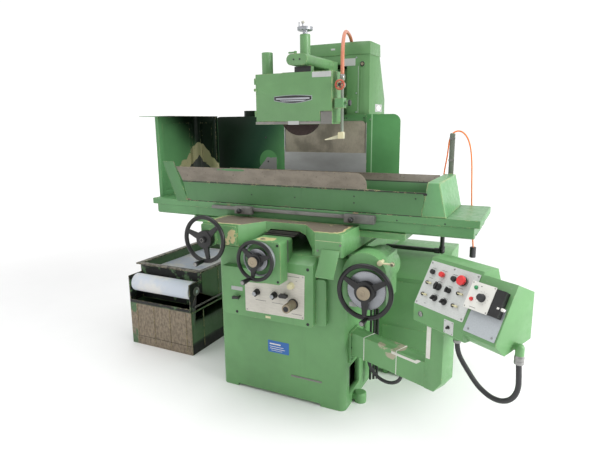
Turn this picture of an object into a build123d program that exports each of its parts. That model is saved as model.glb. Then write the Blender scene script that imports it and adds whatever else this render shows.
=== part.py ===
from build123d import *
import math
import os

# Horizontal-spindle surface grinder. Millimetres, +Z up, +X along the table, +Y from the operator
# to the column. Sizes below are laid out from the base casting's front face; EXPORT_SHIFT moves the
# finished pieces so that the origin is the centre of the base's underside.

# ---- driving dimensions ----
BASE_LEFT, BASE_RIGHT, BASE_DEPTH, BASE_TOP = -387.0, 401.0, 1120.0, 860.0
WALL = 28.0  # cast wall thickness
WAY_TOP = 891.7
SADDLE_BOTTOM, SADDLE_TOP, HORN_TOP = 892.0, 985.0, 1011.0
SADDLE_HALF, WING_HALF = 421.0, 665.0
HORN_FRONT, WEB_FRONT = -95.0, 60.0
TABLE_LEFT, TABLE_RIGHT, TABLE_FRONT, TABLE_BACK = -989.0, 1022.0, 150.0, 610.0
TABLE_BOTTOM, SLAB_BOTTOM, TABLE_TOP = 985.4, 1043.0, 1080.0
SPINDLE_X, SPINDLE_Z = 0.0, 1602.0
WHEEL_R, WHEEL_FRONT, WHEEL_BACK = 128.0, 300.5, 336.5
GUARD_LEFT, GUARD_RIGHT, GUARD_TOP, GUARD_BOTTOM = -243.0, 226.0, 1815.0, 1537.0
GUARD_FRONT, GUARD_BACK = 244.0, 354.0
HEAD_TOP = 1830.0
COLUMN_FRONT, COLUMN_BACK, COLUMN_LEFT, COLUMN_RIGHT = 700.0, 1035.0, -182.0, 272.0
COLUMN_WALL, COLUMN_BEVEL = 24.0, 17.0  # cast wall, and the depth of the bevels at its front corners
CAP_BOTTOM, CAP_TOP = 1947.0, 2021.0
COVER_Y = 645.0  # front of the grey way covers
SCREW_Y, SCREW_TOP = 900.0, 1760.0
BORE_GAP = 0.05  # radial running clearance
WHEEL_SHAFT_R, STEM_R, SPIGOT_R = 14.0, 8.0, 24.0  # handwheel shafts, button stems, pendant swivel
SCREW_R, QUILL_R, ROLL_SPINDLE_R = 19.0, 12.0, 12.0
ELEVATING_AXIS = (544.0, 743.0)
CROSSFEED_AXIS = (-22.0, 853.0)
TRAVERSE_AXIS = (-356.0, 930.0)
DRESSER_X, DRESSER_Y = 30.0, 320.0
TANK_LEFT, TANK_RIGHT, TANK_FRONT, TANK_BACK = -1310.0, -773.0, 195.0, 1118.0
TANK_MID, TANK_TOP = 323.0, 556.0
ROLL_AXIS = (262.0, 440.0)  # (y, z) of the filter paper's roll
CABINET_LEFT, CABINET_RIGHT, CABINET_FRONT, CABINET_BACK = 430.0, 806.0, 500.0, 1000.0
POST_X, POST_Y, POST_TOP = 904.0, -90.0, 640.0
PENDANT_YAW = -32.3
PENDANT_CORNER = (848.0, -67.0, 930.0)
PENDANT_WIDTH, PENDANT_TILT = 448.0, 29.0
ARM_Y = 115.0  # where the pendant's arm leaves the base's side
EXPORT_SHIFT = Location((0, -BASE_DEPTH / 2, 0))


# ---- shapes ----
def block(x0, x1, y0, y1, z0, z1):
    return Pos((x0 + x1) / 2, (y0 + y1) / 2, (z0 + z1) / 2) * Box(x1 - x0, y1 - y0, z1 - z0)


def soft_block(x0, x1, y0, y1, z0, z1, radius, axis=Axis.Z):
    solid = block(x0, x1, y0, y1, z0, z1)
    return fillet(solid.edges().filter_by(axis), radius)


def rod_x(y, z, x0, x1, radius):
    return Pos((x0 + x1) / 2, y, z) * Rot(0, 90, 0) * Cylinder(radius, x1 - x0)


def rod_y(x, z, y0, y1, radius):
    return Pos(x, (y0 + y1) / 2, z) * Rot(90, 0, 0) * Cylinder(radius, y1 - y0)


def rod_z(x, y, z0, z1, radius):
    return Pos(x, y, (z0 + z1) / 2) * Cylinder(radius, z1 - z0)


def cone_y(x, z, y0, y1, r0, r1):
    """A round taper along Y, radius r0 at y0 and r1 at y1."""
    return Pos(x, (y0 + y1) / 2, z) * Rot(-90, 0, 0) * Cone(r0, r1, y1 - y0)


def prism_x(outline, x0, x1):
    """An outline of (y, z) points extruded along X."""
    plane = Plane(origin=(x0, 0, 0), x_dir=(0, 1, 0), z_dir=(1, 0, 0))
    return extrude(plane * make_face(Polyline(*outline, close=True)), x1 - x0)


def prism_y(outline, y0, y1):
    """An outline of (x, z) points extruded along Y."""
    plane = Plane(origin=(0, y1, 0), x_dir=(1, 0, 0), z_dir=(0, -1, 0))
    return extrude(plane * make_face(Polyline(*outline, close=True)), y1 - y0)


def prism_z(outline, z0, z1):
    """An outline of (x, y) points extruded along Z."""
    return extrude(Pos(0, 0, z0) * make_face(Polyline(*outline, close=True)), z1 - z0)


def bolts_y(places, y0, y1, radius):
    """Identical round bolt heads whose axes run along Y, at (x, z) places."""
    return [rod_y(x, z, y0, y1, radius) for x, z in places]


def union(*shapes):
    result = shapes[0]
    for shape in shapes[1:]:
        result = result + shape
    return result


def cord_path(points):
    """A route of straight runs joined by the largest tangent arcs that the runs allow."""
    spots = [Vector(*p) for p in points]
    radii = []
    for before, corner, after in zip(spots, spots[1:], spots[2:]):
        turn = math.radians((corner - before).get_angle(after - corner))
        shorter = min((corner - before).length, (after - corner).length)
        radii.append(0.45 * shorter / math.tan(turn / 2))
    return FilletPolyline(*points, radius=radii), radii


def cord_tube(name, points, diameter):
    """The plain round tube of a cord, with a check of its volume against its length."""
    path, radii = cord_path(points)
    start = Plane(origin=path @ 0, z_dir=path % 0)
    tube = sweep(start * Circle(diameter / 2), path=path)
    expected = math.pi * diameter**2 / 4 * path.length
    print(f"{name}: length {path.length:.0f}, least radius {min(radii):.0f}, "
          f"volume ratio {tube.volume / expected:.4f}")
    return tube


# ---- base and column ----
def base_casting():
    body = block(BASE_LEFT, BASE_RIGHT, 0, BASE_DEPTH, 0, BASE_TOP)
    front = body.edges().filter_by(Axis.Z).group_by(Axis.Y)[0]
    body = fillet(front, 34)
    hollow = block(BASE_LEFT + WALL, BASE_RIGHT - WALL, WALL, BASE_DEPTH - WALL, 24, BASE_TOP - WALL)
    arch = block(-280, 259, -1, WALL + 20, -1, 16)
    side_window = block(BASE_RIGHT - WALL - 1, BASE_RIGHT + 1, 70, 236, 70, 236)
    ways = [block(x, x + 90, 8, 694, BASE_TOP - 1, WAY_TOP) for x in (-300, 210)]
    return union(body - hollow - arch - side_window, *ways)


def levelling_feet():
    feet = []
    for side, edge in ((-1, BASE_LEFT), (1, BASE_RIGHT)):
        for y in (150, BASE_DEPTH - 60):
            centre = edge + side * 38
            low, high = sorted((edge, centre))
            ear = block(low, high, y - 30, y + 30, 18, 46)
            pad = fillet(rod_z(centre, y, 0, 58, 34).edges().group_by(Axis.Z)[-1], 9)
            feet.append(ear + pad)
    return feet


def column_outline(grow=0.0):
    """Plan of the column, with a wide bevel at its right front corner and a small one at its left."""
    left, right, front = COLUMN_LEFT - grow, COLUMN_RIGHT + grow, COLUMN_FRONT - grow
    bevel = front + COLUMN_BEVEL + grow / 2
    return [(left, COLUMN_BACK), (left, bevel), (left + COLUMN_BEVEL, front), (right - 61, front),
            (right, bevel), (right, COLUMN_BACK)]


def column_casting():
    profile = [(600, BASE_TOP), (600, CAP_BOTTOM), (913, CAP_BOTTOM), (COLUMN_BACK, 1690),
               (COLUMN_BACK, BASE_TOP)]
    body = prism_z(column_outline(), BASE_TOP, CAP_BOTTOM) & prism_x(profile, -300, 300)
    front, back, floor = COLUMN_FRONT + COLUMN_WALL, COLUMN_BACK - 25, BASE_TOP + COLUMN_WALL
    inner = [(front, floor), (front, CAP_BOTTOM + 1), (888, CAP_BOTTOM + 1), (back, 1684), (back, floor)]
    inner = prism_x(inner, COLUMN_LEFT + COLUMN_WALL, COLUMN_RIGHT - COLUMN_WALL)
    slot = block(-132, 132, COLUMN_FRONT - 1, front + 1, 1000, 1893)
    sight_glass = rod_y(232, 1890, COLUMN_FRONT - 1, COLUMN_FRONT + 12, 14)
    lug = block(-35, 35, SCREW_Y + 30, COLUMN_BACK - 22, SCREW_TOP - 45, SCREW_TOP - 20)
    return union(body - inner - slot, sight_glass, lug)


def column_cap():
    profile = [(600, CAP_BOTTOM), (600, CAP_TOP), (908, CAP_TOP), (916, CAP_BOTTOM)]
    outer = prism_z(column_outline(4), CAP_BOTTOM, CAP_TOP) & prism_x(profile, -300, 300)
    inner = block(COLUMN_LEFT + COLUMN_WALL, COLUMN_RIGHT - COLUMN_WALL, COLUMN_FRONT + COLUMN_WALL, 886,
                  CAP_BOTTOM - 1, CAP_TOP - 8)
    hose_slot = soft_block(124, 158, 726, 802, CAP_TOP - 20, CAP_TOP + 1, 16)
    return outer - inner - hose_slot


def fixed_way_cover():
    """Lower cover plate with the side channels that carry it, and the frame over the sliding plate."""
    bottom = WAY_TOP + 1.3
    plate = block(-279, 279, COVER_Y, COVER_Y + 3, bottom, 1358)
    sides = [block(x, x + 4, COVER_Y, 740, bottom, 1590) for x in (-283, 279)]
    sides.append(block(COLUMN_RIGHT, 279, 722, 740, bottom, 1590))
    sides.append(block(-279, COLUMN_LEFT, 732, 740, bottom, 1590))
    frames = [block(-281, -158, 655, 659, 1542, 1590), block(118, 281, 655, 659, 1542, 1590)]
    return union(plate, *sides, *frames)


def sliding_way_cover():
    """Upper cover plate that hangs from the wheelhead and slides behind the fixed one."""
    outline = [(-275, 1292), (275, 1292), (275, 1534), (257, 1552), (105, 1552), (105, 1645),
               (-120, 1645), (-120, 1552), (-257, 1552), (-275, 1534)]
    return prism_y(outline, COVER_Y + 4.5, COVER_Y + 6.5)


def elevating_screw():
    """Upright screw behind the wheelhead's nut, with its two bearing blocks."""
    thread = rod_z(0, SCREW_Y, BASE_TOP + 24, SCREW_TOP, SCREW_R)
    low = block(-35, 35, 874, SCREW_Y + 30, BASE_TOP + 24, BASE_TOP + 64)
    high = block(-35, 35, 874, SCREW_Y + 30, SCREW_TOP - 40, SCREW_TOP)
    return union(thread, low, high)


def wing(side, far, far_y):
    """Sheet wing of 3 mm on one side of the column: a flat strip, then an angled panel."""
    near, bend = side * 283, side * 324
    outline = [(near, COVER_Y), (bend, COVER_Y), (side * far, far_y), (side * far, far_y + 3),
               (bend, COVER_Y + 3), (near, COVER_Y + 3)]
    sheet = prism_z(outline, 1090, 1591)
    tip = side * (far - 46)
    low, high = sorted((tip, side * (far + 20)))
    corner = block(low, high, 600, 760, 1545, 1600) - rod_y(tip, 1545, 590, 770, 46)
    return sheet - corner


def splash_wings():
    """Sheet wings each side of the column, with the dust duct on the left one."""
    box = block(-790, -420, 709.5, 1000, 1380, 1588) - block(-787, -423, 712, 997, 1383, 1585)
    duct = rod_z(-622, 800, 1586, 1630, 54) - rod_z(-622, 800, 1580, 1631, 51)
    box = box - rod_z(-622, 800, 1580, 1590, 51) + duct
    joins = block(-430, -424, 657, 710, 1383, 1575) + block(-780, -774, 698, 710, 1383, 1540)
    return [wing(1, 486, 662), union(wing(-1, 872, 707), box, joins)]


# ---- front controls on the base ----
def control_box():
    """Cast box on the base's front with a raised, sloping right half and a stepped edge."""
    outline = [(-319, 482), (246, 482), (246, 822), (90, 822), (90, 762), (-319, 762)]
    body = prism_y(outline, -60, 0)
    body = fillet(body.edges().filter_by(Axis.Y).group_by(Axis.Z)[0], 24)
    roof = prism_x([(-60, 821), (-60, 822), (0, 856), (0, 821)], 90, 246)
    step = soft_block(245, 305, -30, 0, 490, 745, 14, Axis.Y)
    pocket = block(-84.2, 98.2, -61, 1, 720, 900)
    shafts = [rod_y(x, z, -61, -20, r) for x, z, r in CONTROL_BORES]
    return union(body, roof, step) - pocket - shafts


def crossfeed_housing():
    """Boxed casting over the cross-feed screw; the front handwheel turns in it."""
    body = soft_block(-84, 98, -138, -0.2, 722, 948, 16, Axis.Y)
    bore = rod_y(*CROSSFEED_AXIS, -139, -40, WHEEL_SHAFT_R + BORE_GAP)
    return body - bore


def elevating_housing():
    """Bracket on the base's right side with a round-topped flange for the elevating handwheel."""
    neck = block(BASE_RIGHT, 600, 40, 250, 640, 880) + rod_y(523, 800, 40, 250, 96)
    flange = block(411, 635, -60, 40, 650, 812) + rod_y(523, 812, -60, 40, 112)
    body = neck + flange - block(300, BASE_RIGHT, -70, 260, 600, 1000)
    tie = block(BASE_RIGHT, 420, 0, 60, 660, 800)
    body = body + tie
    body = body - rod_y(*ELEVATING_AXIS, -61, 60, WHEEL_SHAFT_R + BORE_GAP)
    body = body - rod_y(604, 884, -61, -20, 8 + BORE_GAP)
    places = [(441, 848), (578, 868), (618, 707), (604, 672), (441, 690)]
    return union(body, *bolts_y(places, -64, -59, 7))


CONTROL_BORES = [(-91, 637, 8 + BORE_GAP), (18, 636, 8 + BORE_GAP), (77, 646, 7 + BORE_GAP),
                 (120, 702, 6 + BORE_GAP), (131, 602, 11 + BORE_GAP), (-207, 594, 6 + BORE_GAP)]


def pointer_knob(x, z, radius):
    """Round panel knob with a pointer wing and a cap, on its shaft."""
    skirt = cone_y(x, z, -84, -61, radius * 0.8, radius)
    wing = block(x - 3, x + 3, -90, -70, z - radius, z + radius)
    cap = rod_y(x, z, -97, -80, radius * 0.55)
    return union(skirt, wing, cap, rod_y(x, z, -62, -24, 8))


def start_lever():
    grip = soft_block(58, 108, -96, -76, 636, 656, 9, Axis.Y)
    return union(grip, rod_y(77, 646, -80, -24, 7))


def cream_knob():
    return union(cone_y(120, 702, -86, -61, 15, 19), rod_y(120, 702, -62, -24, 6))


def speed_knob():
    """Long knurled barrel that sets the table speed, on a black ring."""
    barrel = rod_y(131, 602, -150, -66, 24)
    barrel = fillet(barrel.edges().group_by(Axis.Y)[0], 3) - rod_y(131, 602, -151, -140, 12)
    return union(barrel, rod_y(131, 602, -67, -61, 29), rod_y(131, 602, -62, -24, 11))


def reversing_lever():
    handle = Pos(-207, -82, 594) * Box(15, 15, 15)
    arm = prism_y([(-240, 583), (-201, 590), (-201, 602), (-240, 599)], -92, -76)
    return union(handle, arm, rod_y(-207, 594, -80, -24, 6))


def clutch_lever():
    """Short rod lever with a ball at its tip, beside the elevating flange."""
    hub = rod_y(604, 884, -78, -62, 13)
    lever = rod_x(-70, 884, 604, 655, 5)
    ball = Pos(664, -70, 884) * Sphere(12)
    return union(hub, lever, ball, rod_y(604, 884, -64, -24, 8))


# ---- handwheels ----
def handwheel(axis, rim_y, rim_r, tube_r, cap_r, dial_r, shaft_end, handle_deg, spoke_deg):
    """Three-spoke wheel with its cap, dial, shaft and a crank handle, turning about Y."""
    ring_r = rim_r - tube_r
    wheel = rod_y(0, 0, -10, 24, 0.36 * rim_r)
    spoke = [(0, 22), (ring_r - 3, 0.8 * tube_r), (ring_r - 3, -0.8 * tube_r), (0, -22)]
    for i in range(3):
        wheel = wheel + Rot(0, -(spoke_deg + 120 * i), 0) * prism_y(spoke, -0.45 * tube_r, 0.45 * tube_r)
    wheel = wheel + Rot(90, 0, 0) * Torus(ring_r, tube_r)
    cap = rod_y(0, 0, -22, -9, cap_r)
    cap = fillet(cap.edges().group_by(Axis.Y)[0], 3)
    dial = rod_y(0, 0, 23, 34, dial_r)
    shaft = rod_y(0, 0, 33, shaft_end - rim_y, WHEEL_SHAFT_R)
    angle = math.radians(handle_deg)
    hx, hz = ring_r * math.cos(angle), ring_r * math.sin(angle)
    stud = rod_y(hx, hz, -20, 2, 0.7 * tube_r)
    handle = cone_y(hx, hz, -82, -tube_r - 3, 14, 10)
    handle = fillet(handle.edges().group_by(Axis.Y)[0], 5)
    return Pos(axis[0], rim_y, axis[1]) * union(wheel, cap, dial, shaft, stud, handle)


def elevating_handwheel():
    return handwheel(ELEVATING_AXIS, -112, 143, 12, 35, 98, 20, -84, 30)


def crossfeed_handwheel():
    return handwheel(CROSSFEED_AXIS, -190, 110, 10, 28, 60, -60, -106, 20)


def traverse_handwheel():
    return handwheel(TRAVERSE_AXIS, -160, 134, 12, 18, 38, -70, -94, 40)


# ---- saddle ----
def saddle_casting():
    plan = [(-SADDLE_HALF, HORN_FRONT), (-181, HORN_FRONT), (-96, WEB_FRONT), (150, WEB_FRONT),
            (274, HORN_FRONT), (SADDLE_HALF, HORN_FRONT), (SADDLE_HALF, 600), (-SADDLE_HALF, 600)]
    body = prism_z(plan, SADDLE_BOTTOM, HORN_TOP)
    body = body - block(-500, 500, TABLE_FRONT - 2, 700, SADDLE_TOP, HORN_TOP + 1)
    corners = body.edges().filter_by(Axis.Z).group_by(Axis.Y)[0].sort_by(Axis.X)
    body = fillet([corners[0], corners[-1]], 16)
    tunnel = prism_y([(-176, 880), (-68, 970), (113, 970), (276, 891), (276, 880)], -200, 700)
    wings = prism_x([(152, 951), (152, SADDLE_TOP), (600, SADDLE_TOP), (600, 951)], -WING_HALF, WING_HALF)
    bore = rod_y(*TRAVERSE_AXIS, HORN_FRONT - 1, -60, WHEEL_SHAFT_R + BORE_GAP)
    ways = [block(-WING_HALF, WING_HALF, y, y + 46, SADDLE_TOP - 1, SADDLE_TOP + 12) for y in (215, 480)]
    return union(body, wings, *ways) - tunnel - bore


def traverse_housing():
    """Boss plate on the left horn around the traverse handwheel's shaft."""
    plate = soft_block(-415, -186, -108, HORN_FRONT, 898, 1004, 10, Axis.Y)
    boss = rod_y(*TRAVERSE_AXIS, -124, HORN_FRONT, 48)
    body = plate + boss - rod_y(*TRAVERSE_AXIS, -125, -94, WHEEL_SHAFT_R + BORE_GAP)
    return union(body, *bolts_y([(-207, 985), (-207, 915)], -112, -107, 6))


def horn_cover():
    """Bent sheet cover that hangs from the right horn's front."""
    outline = [(-98.5, 926), (-176, 818), (-176, 806), (-179, 806), (-179, 819), (-100, 929), (-95, 929),
               (-95, 926)]
    sheet = prism_x(outline, 313, 409)
    cheek = prism_x([(-98, 928), (-178, 817), (-170, 808), (-96, 880)], 313, 316)
    return sheet + cheek


def front_way_cover():
    """Telescoping plates over the cross-feed ways, fixed under the saddle's web."""
    plates = [block(-76 + 5 * i, 106 + 3 * i, 4 + 22 * i, 60 + 20 * i, 950 + 5 * i, 952 + 5 * i)
              for i in range(3)]
    lips = [block(-76 + 5 * i, 106 + 3 * i, 4 + 22 * i, 6 + 22 * i, 950 + 5 * i, 957 + 5 * i)
            for i in range(2)]
    rear = block(-60, 110, 98, 101, 951, 970)
    deck = block(-66, 112, 40, 101, 961, 963)
    return union(*plates, *lips, deck, rear)


# ---- table ----
def table_casting():
    slab = block(TABLE_LEFT, TABLE_RIGHT, TABLE_FRONT, TABLE_BACK, SLAB_BOTTOM, TABLE_TOP)
    slab = chamfer(slab.edges().filter_by(Axis.X).group_by(Axis.Y)[0], 1)
    lower = prism_x([(166, SLAB_BOTTOM), (154, SLAB_BOTTOM), (154, TABLE_BOTTOM + 10),
                     (166, TABLE_BOTTOM), (598, TABLE_BOTTOM), (598, SLAB_BOTTOM)], -955, 996)
    grooves = [block(-1000, 1000, y - 0.4, y + 46.4, TABLE_BOTTOM - 1, SADDLE_TOP + 12.4)
               for y in (215, 480)]
    return slab + lower - grooves


def magnetic_chuck():
    body = block(-300, 300, 225, 525, TABLE_TOP, 1160)
    poles = [block(x, x + 4, 235, 515, 1157, 1161) for x in range(-280, 281, 40)]
    return body - poles


def coolant_trough():
    """Front and back splash walls of the table, in sheet, with the slanting left bracket."""
    front = prism_y([(-705, TABLE_TOP), (741, TABLE_TOP), (757.8, 1196), (456, 1206), (456, 1288),
                     (-785, 1288), (-736, 1200)], TABLE_FRONT, TABLE_FRONT + 4)
    step = front.edges().filter_by(Axis.Y).group_by(Axis.Z)[-1].sort_by(Axis.X)[-1]
    front = fillet(step, 66)
    bracket = prism_y([(-785, TABLE_TOP - 8), (-703, TABLE_TOP - 8), (-800, 1318), (-885, 1318)],
                      TABLE_FRONT - 3, TABLE_FRONT)
    back = block(-690, 741, 600, 604, TABLE_TOP, 1245)
    shelf = block(-735, 756, TABLE_FRONT - 4, TABLE_FRONT, 1196, 1202)
    return union(front, bracket, back, shelf)


def end_wall():
    """Cast wall at the trough's right end, and the flat cable post behind it."""
    wall = prism_y([(741.5, TABLE_TOP), (865, TABLE_TOP), (827, 1253), (767, 1253)], TABLE_FRONT, 604)
    wall = wall - prism_y([(760, 1070), (848, 1070), (815, 1240), (779, 1240)], 170, 584)
    post = block(784, 812, 604, 611, TABLE_TOP, 1480)
    gland = block(746, 770, 604, 625, 1190, CHUCK_CABLE[0][2])
    return [wall, post, gland]


def end_hood():
    """Tall hood of bordered sheet that stands on the table's left end and turns its rear corner."""
    left, back, rim, sheet = -989, 618, 25, 4
    shell = block(left, -790, 217, back, TABLE_TOP, 1591)
    inside = block(left + rim, -780, 200, back - rim, TABLE_TOP - 1, 1592)
    shell = shell - fillet(inside.edges().filter_by(Axis.Z).group_by(Axis.Y)[-1].sort_by(Axis.X)[0], 24)
    side_panel = block(left + sheet, left + rim + 1, 257, back - 65, TABLE_TOP + 40, 1551)
    side_panel = fillet(side_panel.edges().filter_by(Axis.X), 14)
    rear_panel = block(left + 65, -826, back - rim - 1, back - sheet, TABLE_TOP + 40, 1551)
    rear_panel = fillet(rear_panel.edges().filter_by(Axis.Y), 14)
    lid = block(-1035, -790, 128, 621, 1591, 1594)
    return union(shell - side_panel - rear_panel, lid)


def dog_bar():
    bar = soft_block(-506, 514, 122, 144, 1047, 1067, 3, Axis.X)
    brackets = [block(x, x + 40, 140, TABLE_FRONT, 1044, 1066) for x in (-500, -20, 470)]
    return union(bar, *brackets)


def stop_dog(x, left, right):
    """Trip dog clamped round the bar, with a ball-headed clamp screw at x; left and right are its ends."""
    body = soft_block(left, right, 102, 139, 1030, 1075, 4, Axis.X)
    body = body - block(left - 1, right + 1, 121.6, 140, 1046.6, 1067.4)
    screw = rod_y(x, 1052, 84, 104, 6)
    return union(body, screw, Pos(x, 78, 1052) * Sphere(14))


# ---- wheelhead ----
def wheelhead_casting():
    front = block(-150, 110, GUARD_BACK + 2, 600, 1556, HEAD_TOP)
    front = fillet(front.edges().filter_by(Axis.Y), 18)
    neck = block(-120, 105, 599, 730, 1645.5, HEAD_TOP)
    carriage = block(-150, 180, 729, 772, 1600, 1870)
    bore = rod_y(SPINDLE_X, SPINDLE_Z, GUARD_BACK, 590, 30 + BORE_GAP)
    nut_hole = rod_z(0, 760, 1599, 1871, 6)
    return union(front, neck, carriage) - bore - nut_hole


def spindle_motor():
    """Wheel motor behind the carriage, inside the column."""
    body = rod_y(0, 1745, 772, 850, 88)
    cap = fillet(rod_y(0, 1745, 849, 868, 70).edges().group_by(Axis.Y)[-1], 8)
    return body + cap


def elevating_nut():
    """Nut arm from the carriage to the elevating screw."""
    arm = block(-60, 60, 772, 945, 1610, 1645)
    return arm - rod_z(0, SCREW_Y, 1600, 1660, SCREW_R + 0.3)


def wheel_guard():
    outer = block(GUARD_LEFT, GUARD_RIGHT, GUARD_FRONT, GUARD_BACK, GUARD_BOTTOM, GUARD_TOP)
    cavity = block(GUARD_LEFT + 6, GUARD_RIGHT - 6, GUARD_FRONT - 1, GUARD_BACK - 6, GUARD_BOTTOM + 6,
                   GUARD_TOP - 6)
    mouth = block(-140, 140, 262, 346, GUARD_BOTTOM - 1, GUARD_BOTTOM + 7)
    bore = rod_y(SPINDLE_X, SPINDLE_Z, 340, 360, 36)
    dresser_hole = rod_z(DRESSER_X, DRESSER_Y, 1800, 1820, 20)
    pot = rod_z(-212, 320, GUARD_TOP - 1, 1941, 32)
    pot = fillet(pot.edges().group_by(Axis.Z)[-1], 4)
    strip = block(GUARD_RIGHT - 1, 240, 262, 350, 1548, 1812)
    sill = block(GUARD_LEFT - 8, GUARD_RIGHT, 236, GUARD_FRONT + 1, GUARD_BOTTOM, 1553)
    corner_box = block(160, GUARD_RIGHT, 238, 262, 1553, 1605)
    body = outer - cavity - mouth - bore - dresser_hole
    seat = block(GUARD_LEFT + 20, GUARD_RIGHT - 20, GUARD_BACK, GUARD_BACK + 2, 1570, GUARD_TOP - 30)
    seat = (seat & block(-150, 110, 300, 400, 1500, 1900)) - bore
    return union(body, pot, strip, sill, corner_box, seat)


def guard_door():
    """Hinged front cover of the wheel guard."""
    outline = [(GUARD_LEFT, 1554), (158, 1554), (158, 1607), (GUARD_RIGHT, 1607), (GUARD_RIGHT, GUARD_TOP),
               (GUARD_LEFT, GUARD_TOP)]
    sheet = prism_y(outline, 233, 243.3)
    recess = prism_y([(GUARD_LEFT + 6, 1560), (152, 1560), (152, 1613), (220, 1613), (220, 1809),
                      (GUARD_LEFT + 6, 1809)], 236, 244)
    latch = soft_block(-252, -236, 226, 234, 1722, 1738, 3, Axis.Y)
    barrels = [rod_z(-249, 239, z, z + 34, 7) for z in (1580, 1760)]
    return union(sheet - recess, latch, *barrels)


def spindle_shaft():
    shaft = rod_y(SPINDLE_X, SPINDLE_Z, 299, 588, 30)
    flanges = [rod_y(SPINDLE_X, SPINDLE_Z, 288, WHEEL_FRONT, 62),
               rod_y(SPINDLE_X, SPINDLE_Z, WHEEL_BACK, 346, 62)]
    nut = Pos(SPINDLE_X, 280, SPINDLE_Z) * Rot(90, 0, 0) * extrude(RegularPolygon(26, 6), 9, both=True)
    return union(shaft, *flanges, nut)


def grinding_wheel():
    y0, y1 = WHEEL_FRONT, WHEEL_BACK
    wheel = rod_y(SPINDLE_X, SPINDLE_Z, y0, y1, WHEEL_R)
    wheel = chamfer(wheel.edges().filter_by(GeomType.CIRCLE), 1.5)
    return wheel - rod_y(SPINDLE_X, SPINDLE_Z, y0 - 1, y1 + 1, 30.2)


def coolant_pipe():
    """Coolant riser with its bracket block, valve body and fan nozzle."""
    x, y = 276.0, 258.0
    riser = rod_z(x, y, 1480, 1770, 8)
    bracket = soft_block(240, 292, 236, 282, 1620, 1672, 4)
    valve_body = Pos(x, y, 1739) * Sphere(19)
    union_nut = Pos(x, y, 1762) * extrude(RegularPolygon(15, 6), 24)
    screw = rod_x(y, 1646, 292, 312, 6) + rod_x(y, 1646, 306, 318, 16)
    nose = block(x - 17, x + 12, y - 16, y + 16, 1459, 1494)
    nose = fillet(nose.edges().filter_by(Axis.Z), 6)
    fan = loft([Pos(x - 16, y, 1470) * Rot(0, -90, 0) * Rectangle(22, 14),
                Pos(184, y, 1453) * Rot(0, -90, 0) * Rectangle(5, 44)])
    stem_bore = rod_y(x, 1739, 236, 256, 5 + BORE_GAP)
    return union(riser, bracket, valve_body, union_nut, screw, nose, fan) - stem_bore


def coolant_valve_wheel():
    """Small red five-lobed wheel on the coolant valve's stem."""
    x, z = 276.0, 1739.0
    rim = Pos(x, 222, z) * Rot(90, 0, 0) * Torus(23, 5)
    spokes = []
    for i in range(5):
        spoke = Pos(x, 222, z) * Rot(0, 36 + 72 * i, 0) * Pos(13, 0, 0) * Box(24, 5, 6)
        spokes.append(spoke)
    hub = rod_y(x, z, 216, 230, 8)
    stem = rod_y(x, z, 225, 252, 5)
    return union(rim, hub, stem, *spokes)


def dresser_arm():
    """Overarm with the upright sleeve of the wheel dresser."""
    ends = [rod_y(x, 1882, 228, 600, 30) for x in (-11, 55)]
    bar = union(block(-11, 55, 228, 600, 1852, 1912), *ends)
    foot = block(-28, 74, 560, 690, HEAD_TOP, 1906)
    sleeve = rod_z(DRESSER_X, DRESSER_Y, 1900, 2021, 29)
    sleeve = fillet(sleeve.edges().group_by(Axis.Z)[-1], 3)
    slide = block(0, 66, 288, 355, GUARD_TOP, 1853)
    lever = rod_x(275, 1925, -50, -6, 5) + rod_z(-8, 275, 1905, 1932, 8)
    bore = rod_z(DRESSER_X, DRESSER_Y, 1800, 2030, QUILL_R + BORE_GAP)
    return union(bar, foot, sleeve, slide, lever) - bore


def dresser_quill():
    """Sliding diamond holder."""
    body = rod_z(DRESSER_X, DRESSER_Y, 1768, 1988, QUILL_R)
    tip = Pos(DRESSER_X, DRESSER_Y, 1759) * Rot(180, 0, 0) * Cone(QUILL_R, 2, 18)
    return body + tip - rod_z(DRESSER_X, DRESSER_Y, 1912, 1989, 6.4)


def dresser_knob():
    """Graduated feed knob of the dresser with its ball handle."""
    disc = rod_z(DRESSER_X, DRESSER_Y, 2041, 2059, 43)
    disc = chamfer(disc.edges().group_by(Axis.Z)[0], 3)
    neck = rod_z(DRESSER_X, DRESSER_Y, 2022, 2042, 13)
    screw = rod_z(DRESSER_X, DRESSER_Y, 1948, 2024, 6)
    handle = rod_z(DRESSER_X - 13, DRESSER_Y, 2058, 2082, 4)
    handle = handle + Pos(DRESSER_X - 13, DRESSER_Y, 2086) * Sphere(9)
    pin = rod_z(DRESSER_X - 32, DRESSER_Y - 8, 2058, 2088, 3)
    return union(disc, neck, screw, handle, pin)


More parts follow.
